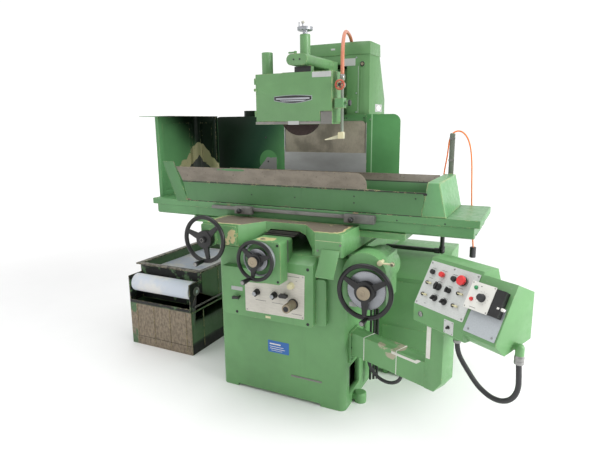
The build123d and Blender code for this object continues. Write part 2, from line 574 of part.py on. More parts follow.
# ---- tank, cabinet, pipes ----
def filter_tank():
    """Coolant tank: lower sump, side panels of the filter bed and the rim."""
    lower = block(TANK_LEFT, TANK_RIGHT, TANK_FRONT, TANK_BACK, 0, TANK_MID)
    sump = block(TANK_LEFT + 4, TANK_RIGHT - 4, TANK_FRONT + 4, TANK_BACK - 4, 4, TANK_MID + 1)
    sides = [block(TANK_RIGHT - 6, TANK_RIGHT, 330, TANK_BACK, TANK_MID, TANK_TOP),
             block(TANK_LEFT, TANK_LEFT + 6, 330, TANK_BACK, TANK_MID, TANK_TOP),
             block(TANK_LEFT, TANK_RIGHT, TANK_BACK - 6, TANK_BACK, TANK_MID, TANK_TOP),
             block(TANK_LEFT, TANK_RIGHT, 324, 330, TANK_MID - 20, TANK_TOP)]
    rim = block(-1331, -753, 300, TANK_BACK, TANK_TOP, 566) - block(-1296, -788, 336, 1090, 500, 600)
    cheeks = [block(x, x + 8, 196, 330, TANK_MID, 500) for x in (TANK_LEFT, TANK_RIGHT - 8)]
    spindle = rod_x(*ROLL_AXIS, -1400, -700, ROLL_SPINDLE_R + BORE_GAP)
    cheeks = [cheek - spindle for cheek in cheeks]
    mid_rail = block(TANK_LEFT, TANK_RIGHT, TANK_FRONT, 204, 300, TANK_MID + 6)
    ribs = [block(x, x + 5, TANK_FRONT - 4, TANK_FRONT, 20, 300) for x in (-1250, -1100, -960, -820)]
    tray = block(TANK_LEFT, TANK_RIGHT, 330, TANK_BACK, 470, 474)
    return union(lower - sump, *sides, rim, *cheeks, mid_rail, *ribs, tray)


def paper_roll():
    """Roll of filter paper on its spindle at the tank's front."""
    roll = rod_x(*ROLL_AXIS, -1290, -793, 62)
    core = rod_x(*ROLL_AXIS, -1318, -765, ROLL_SPINDLE_R)
    return union(roll, core)


def side_cabinet():
    """Hydraulic and electric cabinet beside the column, with a sloped top."""
    front, back = CABINET_FRONT, CABINET_BACK
    profile = [(front, 34), (front, 640), (760, 760), (back, 760), (back, 34)]
    outer = prism_x(profile, CABINET_LEFT, CABINET_RIGHT)
    inner = [(front + 5, 40), (front + 5, 635), (761, 754), (back - 5, 754), (back - 5, 40)]
    inner = prism_x(inner, CABINET_LEFT + 5, CABINET_RIGHT - 5)
    vent = block(500, 740, CABINET_BACK - 6, CABINET_BACK + 1, 200, 500)
    feet = [rod_z(x, y, 0, 35, 22) for x in (470, 766) for y in (540, 960)]
    tie = block(BASE_RIGHT, CABINET_LEFT + 1, 700, 760, 300, 360)
    return union(outer - inner - vent, *feet, tie)


def drain_pipe():
    """Black return pipe out of the base's side, with a funnel under the table's end."""
    x, y, z, radius = 753, 700, 776, 13
    left, low = BASE_RIGHT + radius + 1, 620
    run = rod_x(y, z, left, x, radius)
    drop = union(rod_z(left, y, low, z, radius), *[Pos(left, y, at) * Sphere(radius) for at in (low, z)])
    inlet = rod_x(y, low, BASE_RIGHT, left, radius)
    rise = rod_z(x, y, z, 872, radius)
    elbow = Pos(x, y, z) * Sphere(radius + 4)
    sleeves = rod_x(y, z, x - 44, x - 12, radius + 4) + rod_z(x, y, z + 10, z + 30, radius + 4)
    funnel = Pos(x, y, 884) * Cone(16, 32, 26)
    funnel = funnel - Pos(x, y, 887) * Cone(11, 29, 27)
    return union(run, drop, inlet, rise, elbow, sleeves, funnel)


# ---- pendant ----
def pendant_arm():
    """Flanged box arm from the base's right side, with an elbow up to the pendant's swivel."""
    yaw = math.degrees(math.atan2(POST_Y - ARM_Y, POST_X - BASE_RIGHT))
    length = math.hypot(POST_X - BASE_RIGHT, POST_Y - ARM_Y)
    flange = soft_block(BASE_RIGHT, BASE_RIGHT + 14, 54, 176, 262, 446, 12, Axis.X)
    tube = block(-40, length - 30, -42, 42, 315, 440) - block(-41, length - 60, -36, 36, 321, 434)
    tube = Pos(BASE_RIGHT, ARM_Y, 0) * Rot(0, 0, yaw) * tube
    tube = tube - block(BASE_RIGHT - 200, BASE_RIGHT, -200, 400, 200, 600)
    profile = [(-46, 440), (-46, 315), (6, 315), (46, 372), (46, POST_TOP), (-46, POST_TOP)]
    post = Pos(POST_X, POST_Y, 0) * Rot(0, 0, yaw) * prism_y(profile, -46, 46)
    bolts = [rod_x(y, z, BASE_RIGHT + 14, BASE_RIGHT + 20, 7) for y in (68, 162) for z in (280, 428)]
    spigot = rod_z(POST_X, POST_Y, POST_TOP - 1, POST_TOP + 50, SPIGOT_R)
    glands = [rod_z(*ARM_CABLE[i][:2], ARM_CABLE[i][2], 318, 13) for i in (0, -1)]
    return union(flange, tube, post, spigot, *bolts, *glands)


def place_pendant(shape):
    x, y, z = PENDANT_CORNER
    return Pos(x, y, z) * Rot(0, 0, PENDANT_YAW) * shape


def pendant_point(across, back, up):
    """A point of the pendant, from its panel's top-left corner, in the machine's frame."""
    turn = math.radians(PENDANT_YAW)
    x, y, z = PENDANT_CORNER
    return (x + across * math.cos(turn) - back * math.sin(turn),
            y + across * math.sin(turn) + back * math.cos(turn), z + up)


def panel_place(across, down, lift=0.0):
    """Location on the sloped panel, with local Z out of the panel."""
    tilt = math.radians(PENDANT_TILT)
    back = -down * math.sin(tilt) - lift * math.cos(tilt)
    up = -down * math.cos(tilt) + lift * math.sin(tilt)
    return Pos(*pendant_point(across, back, up)) * Rot(0, 0, PENDANT_YAW) * Rot(90 - PENDANT_TILT, 0, 0)


PENDANT_PROFILE = [(0, 0), (4, 12), (92, 12), (112, -40), (112, -276), (-92, -276), (-104, -264),
                   (-104, -188)]


def pendant_box():
    """Sloped desk box with its swivel flange, the conduit's gland and its right-hand coupling."""
    body = prism_x(PENDANT_PROFILE, 0, 284)
    right = prism_x(PENDANT_RIGHT_PROFILE, 283, PENDANT_WIDTH)
    inner = prism_x([(8, -6), (88, 6), (106, -42), (106, -266), (-90, -266), (-96, -188)], 6, 278)
    start, end = CONDUIT[0], CONDUIT[-1]
    gland = Pos(start[0], start[1], (start[2] - 270) / 2) * Cylinder(16, -270 - start[2])
    coupling = Pos(end[0], end[1], (end[2] - 246) / 2) * Cylinder(17, -246 - end[2])
    spur = rod_x(end[1], -246, PENDANT_WIDTH - 2, end[0], 15)
    elbow = Pos(end[0], end[1], -246) * Sphere(17)
    body = place_pendant(union(body - inner, right, gland, coupling, spur, elbow))
    flange = rod_z(POST_X, POST_Y, POST_TOP + 0.5, POST_TOP + 16, 42)
    bore = rod_z(POST_X, POST_Y, POST_TOP, POST_TOP + 51, SPIGOT_R + BORE_GAP)
    holes = [panel_place(*spot) * Cylinder(STEM_R + BORE_GAP, 60) for spot in PANEL_SPOTS.values()]
    return union(body, flange) - bore - holes


PANEL_SPOTS = {"stop": (207, 53), "start": (38, 54), "wheel_stop": (95, 54), "infeed": (95, 109),
               "mode": (155, 110)}
PENDANT_RIGHT_PROFILE = [(-4, 2), (100, -44), (100, -240), (-60, -276), (-116, -226), (-116, -212)]


def panel_button(across, down, radius, height):
    """Push button: head in front of the panel and stem through it, travelling into the box."""
    head = Cylinder(radius, height, align=(Align.CENTER, Align.CENTER, Align.MIN))
    head = fillet(head.edges().group_by(Axis.Z)[-1], 2)
    stem = Pos(0, 0, -9) * Cylinder(STEM_R, 34)
    return panel_place(across, down) * union(Pos(0, 0, 6.5) * head, stem)


def mushroom_button(across, down):
    cap = Pos(0, 0, 8) * Cone(16, 22, 12, align=(Align.CENTER, Align.CENTER, Align.MIN))
    dome = Pos(0, 0, 20) * Cylinder(22, 8, align=(Align.CENTER, Align.CENTER, Align.MIN))
    dome = fillet(dome.edges().group_by(Axis.Z)[-1], 6)
    stem = Pos(0, 0, -8) * Cylinder(STEM_R, 40)
    return panel_place(across, down) * union(cap, dome, stem)


def panel_knob(across, down, radius):
    body = Pos(0, 0, 2.6) * Cone(radius, radius * 0.85, 19, align=(Align.CENTER, Align.CENTER, Align.MIN))
    grip = Pos(0, 0, 24) * Box(radius * 0.5, 2 * radius, 8)
    stem = Pos(0, 0, -9) * Cylinder(STEM_R, 26)
    return panel_place(across, down) * union(body, grip, stem)


# ---- cords ----
CHUCK_CABLE = [(758, 615, 1236), (762, 618, 1284), (770, 621, 1336), (775, 623, 1392), (779, 624, 1446),
               (798, 625, 1486), (838, 626, 1494), (874, 626, 1462), (896, 625, 1402), (907, 624, 1316),
               (912, 623, 1208), (918, 623, 1092), (925, 622, 976), (935, 621, 888), (940, 620, 838)]
HOSE = [(276, 258, 1786), (276, 258, 1850), (269, 278, 1926), (247, 345, 1990), (214, 450, 2036),
        (180, 560, 2060), (156, 648, 2066), (145, 716, 2058), (141, 762, 2018), (140, 780, 1962)]
ARM_CABLE = [(504, 82, 304), (512, 79, 264), (544, 69, 228), (592, 54, 208), (644, 37, 212),
             (687, 24, 240), (702, 19, 274), (708, 17, 304)]
CONDUIT = [(172, -6, -334), (177, -6, -374), (201, -5, -410), (240, -3, -448), (270, 0, -478),
           (304, 4, -503), (358, 6, -518), (413, 6, -507), (456, 4, -471), (478, 2, -419),
           (477, 0, -363), (472, 0, -312)]


def chuck_plug():
    """Plug on the end of the chuck's lead."""
    x, y, z = CHUCK_CABLE[-1]
    body = Pos(x, y, z - 30) * Cylinder(17, 60)
    return fillet(body.edges().group_by(Axis.Z)[0], 4)


PARTS = {
    "base_casting": base_casting(),
    "levelling_feet": levelling_feet(),
    "column_casting": column_casting(),
    "column_cap": column_cap(),
    "fixed_way_cover": fixed_way_cover(),
    "elevating_screw": elevating_screw(),
    "splash_wings": splash_wings(),
    "control_box": control_box(),
    "crossfeed_housing": crossfeed_housing(),
    "elevating_housing": elevating_housing(),
    "filter_tank": filter_tank(),
    "side_cabinet": side_cabinet(),
    "drain_pipe": drain_pipe(),
    "pendant_arm": pendant_arm(),
    "arm_cable": cord_tube("arm_cable", ARM_CABLE, 18),
    "saddle_casting": saddle_casting(),
    "traverse_housing": traverse_housing(),
    "horn_cover": horn_cover(),
    "front_way_cover": front_way_cover(),
    "table_casting": table_casting(),
    "magnetic_chuck": magnetic_chuck(),
    "coolant_trough": coolant_trough(),
    "end_wall": end_wall(),
    "end_hood": end_hood(),
    "dog_bar": dog_bar(),
    "chuck_cable": cord_tube("chuck_cable", CHUCK_CABLE, 8),
    "chuck_plug": chuck_plug(),
    "left_dog": stop_dog(-285, -330, -222),
    "right_dog": stop_dog(397, 350, 512),
    "wheelhead_casting": wheelhead_casting(),
    "spindle_motor": [spindle_motor(), elevating_nut()],
    "wheel_guard": wheel_guard(),
    "sliding_way_cover": sliding_way_cover(),
    "coolant_pipe": coolant_pipe(),
    "coolant_hose": cord_tube("coolant_hose", HOSE, 20),
    "dresser_arm": dresser_arm(),
    "guard_door": guard_door(),
    "spindle_shaft": spindle_shaft(),
    "grinding_wheel": grinding_wheel(),
    "dresser_quill": dresser_quill(),
    "dresser_knob": dresser_knob(),
    "coolant_valve_wheel": coolant_valve_wheel(),
    "paper_roll": paper_roll(),
    "elevating_handwheel": elevating_handwheel(),
    "crossfeed_handwheel": crossfeed_handwheel(),
    "traverse_handwheel": traverse_handwheel(),
    "start_lever": start_lever(),
    "speed_knob": speed_knob(),
    "left_feed_knob": pointer_knob(-91, 637, 19),
    "right_feed_knob": pointer_knob(18, 636, 19),
    "cream_knob": cream_knob(),
    "reversing_lever": reversing_lever(),
    "clutch_lever": clutch_lever(),
    "pendant_box": pendant_box(),
    "pendant_conduit": cord_tube("pendant_conduit", [pendant_point(*spot) for spot in CONDUIT], 22),
    "stop_button": mushroom_button(*PANEL_SPOTS["stop"]),
    "start_button": panel_button(*PANEL_SPOTS["start"], 11, 10),
    "wheel_stop_button": panel_button(*PANEL_SPOTS["wheel_stop"], 12, 16),
    "infeed_knob": panel_knob(*PANEL_SPOTS["infeed"], 17),
    "mode_selector": panel_knob(*PANEL_SPOTS["mode"], 12),
}


def main():
    os.makedirs("parts", exist_ok=True)
    for name, shape in PARTS.items():
        pieces = shape if isinstance(shape, list) else [shape]
        solids = [solid.moved(EXPORT_SHIFT) for piece in pieces for solid in piece.solids()]
        whole = solids[0] if len(solids) == 1 else Compound(children=solids)
        export_step(whole, f"parts/{name}.step")


main()
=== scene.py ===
import math

import bmesh
import bpy
from mathutils import Matrix, Vector


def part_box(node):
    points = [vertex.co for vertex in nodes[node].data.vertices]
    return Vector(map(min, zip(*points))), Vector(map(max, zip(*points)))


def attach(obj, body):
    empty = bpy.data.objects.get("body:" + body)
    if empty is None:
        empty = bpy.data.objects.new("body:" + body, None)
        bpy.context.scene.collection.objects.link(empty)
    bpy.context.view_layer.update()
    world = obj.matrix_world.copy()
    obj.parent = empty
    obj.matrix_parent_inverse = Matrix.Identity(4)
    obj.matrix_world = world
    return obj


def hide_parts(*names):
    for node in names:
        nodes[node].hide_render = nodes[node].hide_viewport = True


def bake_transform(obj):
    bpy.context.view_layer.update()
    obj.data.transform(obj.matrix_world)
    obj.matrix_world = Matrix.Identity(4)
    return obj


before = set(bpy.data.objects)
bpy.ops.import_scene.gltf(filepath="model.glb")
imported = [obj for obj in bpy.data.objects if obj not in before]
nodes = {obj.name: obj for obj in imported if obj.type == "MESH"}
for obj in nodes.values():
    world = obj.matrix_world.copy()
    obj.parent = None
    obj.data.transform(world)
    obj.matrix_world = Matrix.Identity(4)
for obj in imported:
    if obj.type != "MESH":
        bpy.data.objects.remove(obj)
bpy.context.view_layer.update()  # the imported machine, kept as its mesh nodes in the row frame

MM = 0.001
BASE_DEPTH = 1120  # mm; the row's origin is at the centre of the base, half of this behind its front


def at(x, y, z):
    """A point given in millimetres from the base's front face, in the row frame."""
    return Vector((x * MM, (y - BASE_DEPTH / 2) * MM, z * MM))


# ---- places: local X and Y lie on a face, local Z points out of it ----
def place(origin, right, up):
    right, up = Vector(right).normalized(), Vector(up).normalized()
    out = right.cross(up)
    rows = [(right[i], up[i], out[i], origin[i]) for i in range(3)]
    return Matrix([*rows, (0, 0, 0, 1)])


def front(x, y, z):
    """On a face that looks towards the operator."""
    return place(at(x, y, z), (1, 0, 0), (0, 0, 1))


def side(x, y, z):
    """On a face that looks to the right, along +X."""
    return place(at(x, y, z), (0, 1, 0), (0, 0, 1))


def flat(x, y, z):
    """On a face that looks up."""
    return place(at(x, y, z), (1, 0, 0), (0, 1, 0))


def show(name, data):
    """A new object in the scene that holds a mesh, a curve, a lamp or a camera."""
    obj = bpy.data.objects.new(name, data)
    bpy.context.scene.collection.objects.link(obj)
    return obj


def shade_smooth(mesh):
    mesh.polygons.foreach_set("use_smooth", [True] * len(mesh.polygons))


# ---- materials ----
def srgb(red, green, blue):
    """A colour in 8-bit sRGB steps, as the linear RGBA that the nodes take."""
    def linear(c):
        c /= 255
        return c / 12.92 if c <= 0.04045 else ((c + 0.055) / 1.055) ** 2.4
    return (linear(red), linear(green), linear(blue), 1.0)


class Look:
    """A procedural material, built node by node round one Principled shader."""

    def __init__(self, name, roughness=0.5, metallic=0.0):
        self.material = bpy.data.materials.new(name)
        self.material.use_nodes = True
        self.tree = self.material.node_tree
        self.shader = self.tree.nodes["Principled BSDF"]
        self.shader.inputs["Roughness"].default_value = roughness
        self.shader.inputs["Metallic"].default_value = metallic
        texture = self.tree.nodes.new("ShaderNodeTexCoord")
        self.coords, self.normal = texture.outputs["Object"], texture.outputs["Normal"]

    def node(self, kind, values=(), **settings):
        made = self.tree.nodes.new(kind)
        for key, value in settings.items():
            setattr(made, key, value)
        for key, value in dict(values).items():
            self.put(made.inputs[key], value)
        return made

    def put(self, socket, value):
        if isinstance(value, bpy.types.NodeSocket):
            self.tree.links.new(value, socket)
        else:
            socket.default_value = value

    def calc(self, operation, a, b=0.0):
        return self.node("ShaderNodeMath", {0: a, 1: b}, operation=operation).outputs[0]

    def noise(self, scale, detail=4.0, stretch=(1, 1, 1), shift=0.0):
        mapped = self.node("ShaderNodeMapping", {"Vector": self.coords, "Scale": stretch,
                                                 "Location": (shift, shift, shift)})
        noise = self.node("ShaderNodeTexNoise", {"Vector": mapped.outputs[0], "Scale": scale,
                                                 "Detail": detail, "Roughness": 0.6})
        return noise.outputs["Fac"]

    def grains(self, scale):
        made = self.node("ShaderNodeTexVoronoi", {"Vector": self.coords, "Scale": scale})
        return made.outputs["Distance"]

    def ramp(self, value, start, end):
        """0 below start, 1 above end, smooth between; start may be the larger."""
        rising = start < end
        made = self.node("ShaderNodeMapRange", {"Value": value, "From Min": min(start, end),
                                                "From Max": max(start, end), "To Min": 0.0 if rising else 1.0,
                                                "To Max": 1.0 if rising else 0.0},
                         interpolation_type="SMOOTHSTEP")
        return made.outputs["Result"]

    def mix(self, share, a, b):
        made = self.node("ShaderNodeMix", data_type="RGBA")
        for socket, value in ((made.inputs[0], share), (made.inputs[6], a), (made.inputs[7], b)):
            self.put(socket, value)
        return made.outputs[2]

    def axis(self, index, vector=None):
        made = self.node("ShaderNodeSeparateXYZ", {"Vector": vector or self.coords})
        return made.outputs[index]

    def past(self, index, start, end):
        """0 before start and 1 after end on one of the machine's axes, in mm; start may be the larger."""
        origin = BASE_DEPTH / 2 if index == 1 else 0
        return self.ramp(self.axis(index), (start - origin) * MM, (end - origin) * MM)

    def within(self, index, start, end, soft=10):
        """1 between start and end on one of the machine's axes, in mm."""
        return self.product(self.past(index, start - soft, start + soft),
                            self.past(index, end + soft, end - soft))

    def add(self, a, b):
        return self.calc("ADD", a, b)

    def flip(self, share):
        return self.calc("SUBTRACT", 1.0, share)

    def product(self, *values):
        result = values[0]
        for value in values[1:]:
            result = self.calc("MULTIPLY", result, value)
        return result

    def edges(self, radius, start=0.02, end=0.16):
        """1 along convex and concave edges, found with a rounded normal."""
        rounded = self.node("ShaderNodeBevel", {"Radius": radius}, samples=4)
        true = self.node("ShaderNodeNewGeometry")
        dot = self.node("ShaderNodeVectorMath", {0: rounded.outputs[0], 1: true.outputs["Normal"]},
                        operation="DOT_PRODUCT")
        return self.ramp(self.calc("SUBTRACT", 1.0, dot.outputs["Value"]), start, end)

    def bump(self, height, strength, distance=0.001):
        made = self.node("ShaderNodeBump", {"Height": height, "Strength": strength, "Distance": distance})
        self.put(self.shader.inputs["Normal"], made.outputs[0])

    def colour(self, value):
        self.put(self.shader.inputs["Base Color"], value)

    def rough(self, value):
        self.put(self.shader.inputs["Roughness"], value)


def toned(colour, factor, lift=0.0):
    """A colour made darker or lighter."""
    return tuple(min(1.0, c * factor + lift) for c in colour[:3]) + (1.0,)


PRIMER = srgb(196, 184, 136)
BARE = srgb(112, 102, 90)
GRIME = srgb(38, 44, 34)
STEEL = srgb(150, 150, 148)


def enamel(name, base, chips=0.45, grime=0.35, gloss=0.34, patches=(), shine=0.5):
    """Sprayed machine enamel: uneven tone, orange peel, grime in streaks, and chips along edges.
    Each patch is a function of the look that returns (share, colour)."""
    look = Look(name)
    colour = look.mix(look.ramp(look.noise(2.3, 5), 0.32, 0.68), toned(base, 0.72), toned(base, 1.16))
    colour = look.mix(0.5, colour, base)
    fine = look.noise(42, 6)
    streaks = look.ramp(look.noise(9, 6, (1, 1, 0.12), 3.0), 0.56, 0.74)
    colour = look.mix(look.product(streaks, grime * 0.55), colour, GRIME)
    spots = look.ramp(look.noise(130, 3, shift=1.5), 0.71, 0.76)
    colour = look.mix(look.product(spots, grime), colour, GRIME)
    for patch in patches:
        share, tint = patch(look)
        colour = look.mix(share, colour, tint)
    edge = look.edges(0.004)
    chipped = look.product(edge, look.ramp(fine, 0.62 - 0.22 * chips, 0.66 - 0.12 * chips))
    colour = look.mix(chipped, colour, look.mix(look.ramp(fine, 0.6, 0.7), PRIMER, BARE))
    look.colour(colour)
    look.shader.inputs["Specular IOR Level"].default_value = shine
    look.rough(look.add(gloss, look.product(look.ramp(fine, 0.3, 0.8), 0.22)))
    look.bump(look.calc("SUBTRACT", look.noise(520, 2), look.product(chipped, 0.8)), 0.14)
    return look.material


def metal(name, base, roughness=0.38, stretch=(1, 1, 1), scale=260, dirt=0.4, metallic=0.85):
    """Machined or rolled metal: brushed grain, dull stains and worn bright edges."""
    look = Look(name, metallic=metallic)
    grain = look.noise(scale, 4, stretch)
    stains = look.ramp(look.noise(7, 6, shift=5.0), 0.46, 0.72)
    darker = toned(base, 0.5)
    colour = look.mix(look.product(stains, dirt), base, darker)
    colour = look.mix(look.product(look.ramp(grain, 0.35, 0.7), 0.25), colour, darker)
    colour = look.mix(look.product(look.edges(0.002), 0.4), colour, toned(base, 1.5))
    look.colour(colour)
    look.rough(look.add(roughness, look.product(stains, 0.2)))
    look.bump(grain, 0.12)
    return look.material


def moulded(name, base, roughness=0.4, scale=700, dust=0.25, coat=0.0):
    """Moulded plastic, rubber or black lacquer, with a fine texture, dust and rubbed edges."""
    look = Look(name)
    fine = look.noise(scale, 3)
    lighter = toned(base, 1.5, 0.03)
    dusty = look.ramp(look.noise(14, 6), 0.5, 0.78)
    colour = look.mix(look.product(dusty, dust), base, lighter)
    colour = look.mix(look.product(look.edges(0.0015), 0.3), colour, lighter)
    look.colour(colour)
    look.rough(look.add(roughness, look.product(dusty, 0.18)))
    look.bump(fine, 0.1)
    look.shader.inputs["Coat Weight"].default_value = coat
    return look.material


def blotch(look, spread, threshold, scale=5.0, shift=0.0):
    """The ragged share of a masked area that is worn through."""
    ragged = look.add(look.product(spread, 0.7), look.noise(scale, 7, shift=shift))
    return look.ramp(ragged, threshold, threshold + 0.04)


def ball(look, centre, radius, core=0.45):
    """1 near a point, falling to 0 at the radius; core is the share of the radius that stays at 1."""
    far = look.node("ShaderNodeVectorMath", {0: look.coords, 1: tuple(centre)}, operation="DISTANCE")
    return look.ramp(far.outputs["Value"], radius, radius * core)


def roughened(look, value, scale, amount):
    """A distance in metres made ragged by noise of that scale, and cut off sharply at zero."""
    ragged = look.product(look.calc("SUBTRACT", look.noise(scale, 6), 0.5), amount)
    return look.ramp(look.add(value, ragged), 0.0, 0.003)


def facing_up(look):
    return look.ramp(look.axis(2, look.normal), 0.8, 0.95)


def worn(x0, x1, y0, y1, threshold, tint):
    """Enamel worn off a casting's top, inside borders given in mm; a lower threshold spreads further."""
    def patch(look):
        spread = look.product(look.within(0, x0, x1, 30), look.within(1, y0, y1, 30))
        return look.product(facing_up(look), blotch(look, spread, threshold, 9)), tint
    return patch


def chipped_boss(look):
    """Chipped enamel on the left horn's face beside the traverse wheel."""
    area = look.calc("MAXIMUM", ball(look, at(-212, -108, 950), 0.07, 0.3),
                     ball(look, at(-250, -108, 912), 0.05, 0.2))
    return blotch(look, area, 1.08, 30), PRIMER


def above(look, height, soft=0.6):
    """1 above a height in mm."""
    return look.past(2, height - soft, height + soft)


def right_of_bracket(look):
    """1 on the trough's wall, 0 on the slanting bracket at its left end."""
    lean = look.add(look.axis(0), look.product(look.axis(2), 0.4076))
    return look.ramp(lean, -0.2649, -0.2629)


def rusty_strip(look):
    """The trough wall's bare, stained upper strip, with green left near its lip."""
    mottle = look.ramp(look.noise(18, 8, (0.5, 1, 1)), 0.35, 0.7)
    tone = look.mix(mottle, srgb(126, 118, 105), srgb(106, 98, 86))
    tone = look.mix(look.ramp(look.noise(95, 5, shift=2.0), 0.62, 0.67), tone, srgb(66, 54, 42))
    keep = look.product(look.within(2, 1270, 1287, 6), look.within(0, -520, -250, 60))
    bare = look.flip(blotch(look, keep, 1.1, 9))
    return look.product(above(look, 1203), right_of_bracket(look), bare), tone


def strip_line_and_foot_shadow(look):
    """A dark line under the bare strip, and painted shadow as a black line along the trough's foot."""
    seam = look.calc("MAXIMUM", look.within(2, 1196, 1202, 0.6), look.within(2, 1079, 1084, 1))
    return look.product(seam, right_of_bracket(look)), srgb(36, 36, 30)


def slab_rust(look):
    """Rust that creeps up from the trough's foot."""
    foot = look.within(2, 1076, 1100)
    return look.product(foot, blotch(look, foot, 1.28, 4)), srgb(118, 100, 84)


def inside_hood(look):
    return look.product(look.past(0, -987.6, -986.6), look.past(1, 616.5, 615.5))


def across_hood(look):
    """Distance along the hood's inside, from its left wall round to its rear one."""
    return look.add(look.product(look.axis(0), 0.897), look.product(look.axis(1), 0.442))


def bared_peak(top, centre, left, right, tint):
    """A ragged, peaked patch where coolant has stripped the hood; top in mm, slopes as run over fall."""
    def patch(look):
        drop = look.calc("SUBTRACT", top * MM, look.axis(2))
        along = look.calc("SUBTRACT", across_hood(look), centre)
        clear = look.calc("MINIMUM", look.add(along, look.product(drop, left)),
                          look.calc("SUBTRACT", look.product(drop, right), along))
        edge = roughened(look, clear, 16, 0.09)
        spots = look.ramp(look.noise(60, 4, shift=3.0), 0.66, 0.7)
        tone = look.mix(spots, tint, srgb(40, 44, 36))
        return look.product(edge, inside_hood(look), above(look, 1235)), tone
    return patch


def hood_shade(look):
    """Painted shade inside the hood, darkening it towards its back and top, where the enclosed hood lies in
    shadow.
    """
    reach = look.add(across_hood(look), look.product(look.axis(2), 0.5))
    return look.product(inside_hood(look), look.ramp(reach, -0.24, -0.11), 0.97), srgb(5, 18, 11)


def wing_painted_shade(look):
    """Painted shade on the left wing, which lies in shadow: nearly black at its upper left and paler towards
    the column.
    """
    reach = look.calc("SUBTRACT", look.product(look.axis(2), 0.6), look.axis(0))
    tint = look.mix(look.ramp(reach, 1.25, 1.6), srgb(10, 52, 34), srgb(4, 14, 9))
    return look.product(look.ramp(reach, 1.0, 1.34), 0.97), tint


def wing_stain(look):
    return look.product(ball(look, at(-410, 655, 1292), 0.078, 0.93), 0.6), srgb(92, 152, 92)


def wing_bare(look):
    """Bare grey metal low on the left wing, its upper edge rising towards the column."""
    rise = look.calc("MINIMUM", look.add(look.axis(0), 0.493), 0.07)
    under = look.calc("SUBTRACT", look.add(look.product(rise, 1.1), 1.243), look.axis(2))
    return look.product(roughened(look, under, 22, 0.03), look.within(0, -492, -345, 2)), srgb(132, 132, 130)


# Painted highlight: a pale line down the right wing's rounded fold, at x 313 to 319 mm.
def wing_fold_highlight(look):
    return look.product(look.within(0, 313, 319, 1), 0.75), srgb(170, 206, 166)


def wall_wear(look):
    """Enamel rubbed down to primer along the end wall's rounded top edges."""
    return look.product(look.edges(0.016, 0.03, 0.2), look.ramp(look.noise(26, 6), 0.4, 0.56)), PRIMER


def post_steel(look):
    """The cable post behind the end wall is bare steel."""
    return look.calc("MAXIMUM", look.past(1, 604.2, 604.8), above(look, 1256)), srgb(104, 110, 98)


def bare_sheet(look):
    """The lower way cover is bright sheet below its green frame."""
    mottle = look.ramp(look.noise(6, 5, (0.4, 1, 1)), 0.3, 0.7)
    tone = look.mix(mottle, srgb(170, 171, 171), srgb(146, 146, 144))
    return look.flip(above(look, 1541)), tone


def nozzle_cream(look):
    return look.flip(above(look, 1497)), look.mix(look.noise(30, 5), srgb(206, 204, 178), srgb(168, 164, 136))


def bracket_green(look):
    return look.product(above(look, 1619), look.flip(above(look, 1673))), srgb(88, 138, 88)


def slab_drips(look):
    drips = look.calc("MAXIMUM", ball(look, at(-402, 150, 1060), 0.018),
                      ball(look, at(398, 150, 1072), 0.022))
    return look.product(drips, 0.8), srgb(166, 138, 112)


def tank_rust(look):
    """The sump's front plate, rusted to a pale brown, with enamel left at its upper left."""
    plate_face, below = look.past(1, 203, 199), look.past(2, 312, 300)
    mottle = look.ramp(look.noise(60, 8, (1, 1, 0.6)), 0.3, 0.72)
    tone = look.mix(mottle, srgb(148, 134, 114), srgb(104, 92, 76))
    tone = look.mix(look.within(2, 62, 66, 1), tone, srgb(52, 44, 36))
    keep = blotch(look, look.product(look.past(0, -1190, -1270), 0.8), 1.06, 6)
    return look.product(plate_face, below, look.flip(keep)), tone


def tank_rim(look):
    tone = look.mix(look.ramp(look.noise(30, 6), 0.42, 0.6), srgb(118, 112, 100), srgb(26, 28, 24))
    return look.product(look.past(2, 552, 557), 0.9), tone


def tank_black(look):
    """Black oil dirt on the cheeks beside the roll and along the rail under them."""
    dirt = look.ramp(look.noise(14, 7), 0.36, 0.46)
    return look.product(look.past(1, 336, 330), look.past(2, 300, 312), dirt), srgb(17, 19, 16)


def tank_oil(look):
    """Black oil along the sump's foot."""
    foot = look.past(2, 110, 60)
    return look.product(foot, look.past(1, 200, 206), blotch(look, foot, 0.9, 6)), srgb(14, 15, 13)


def scrape(centre, radius, threshold, scale, tint):
    """Enamel knocked off round one place, given in mm."""
    def patch(look):
        return blotch(look, ball(look, at(*centre), radius), threshold, scale), tint
    return patch


GREEN_HEAD = srgb(98, 140, 92)
GREEN_BASE = srgb(102, 151, 97)
GREEN_TABLE = srgb(92, 142, 92)
GREEN_COLUMN = srgb(90, 133, 84)

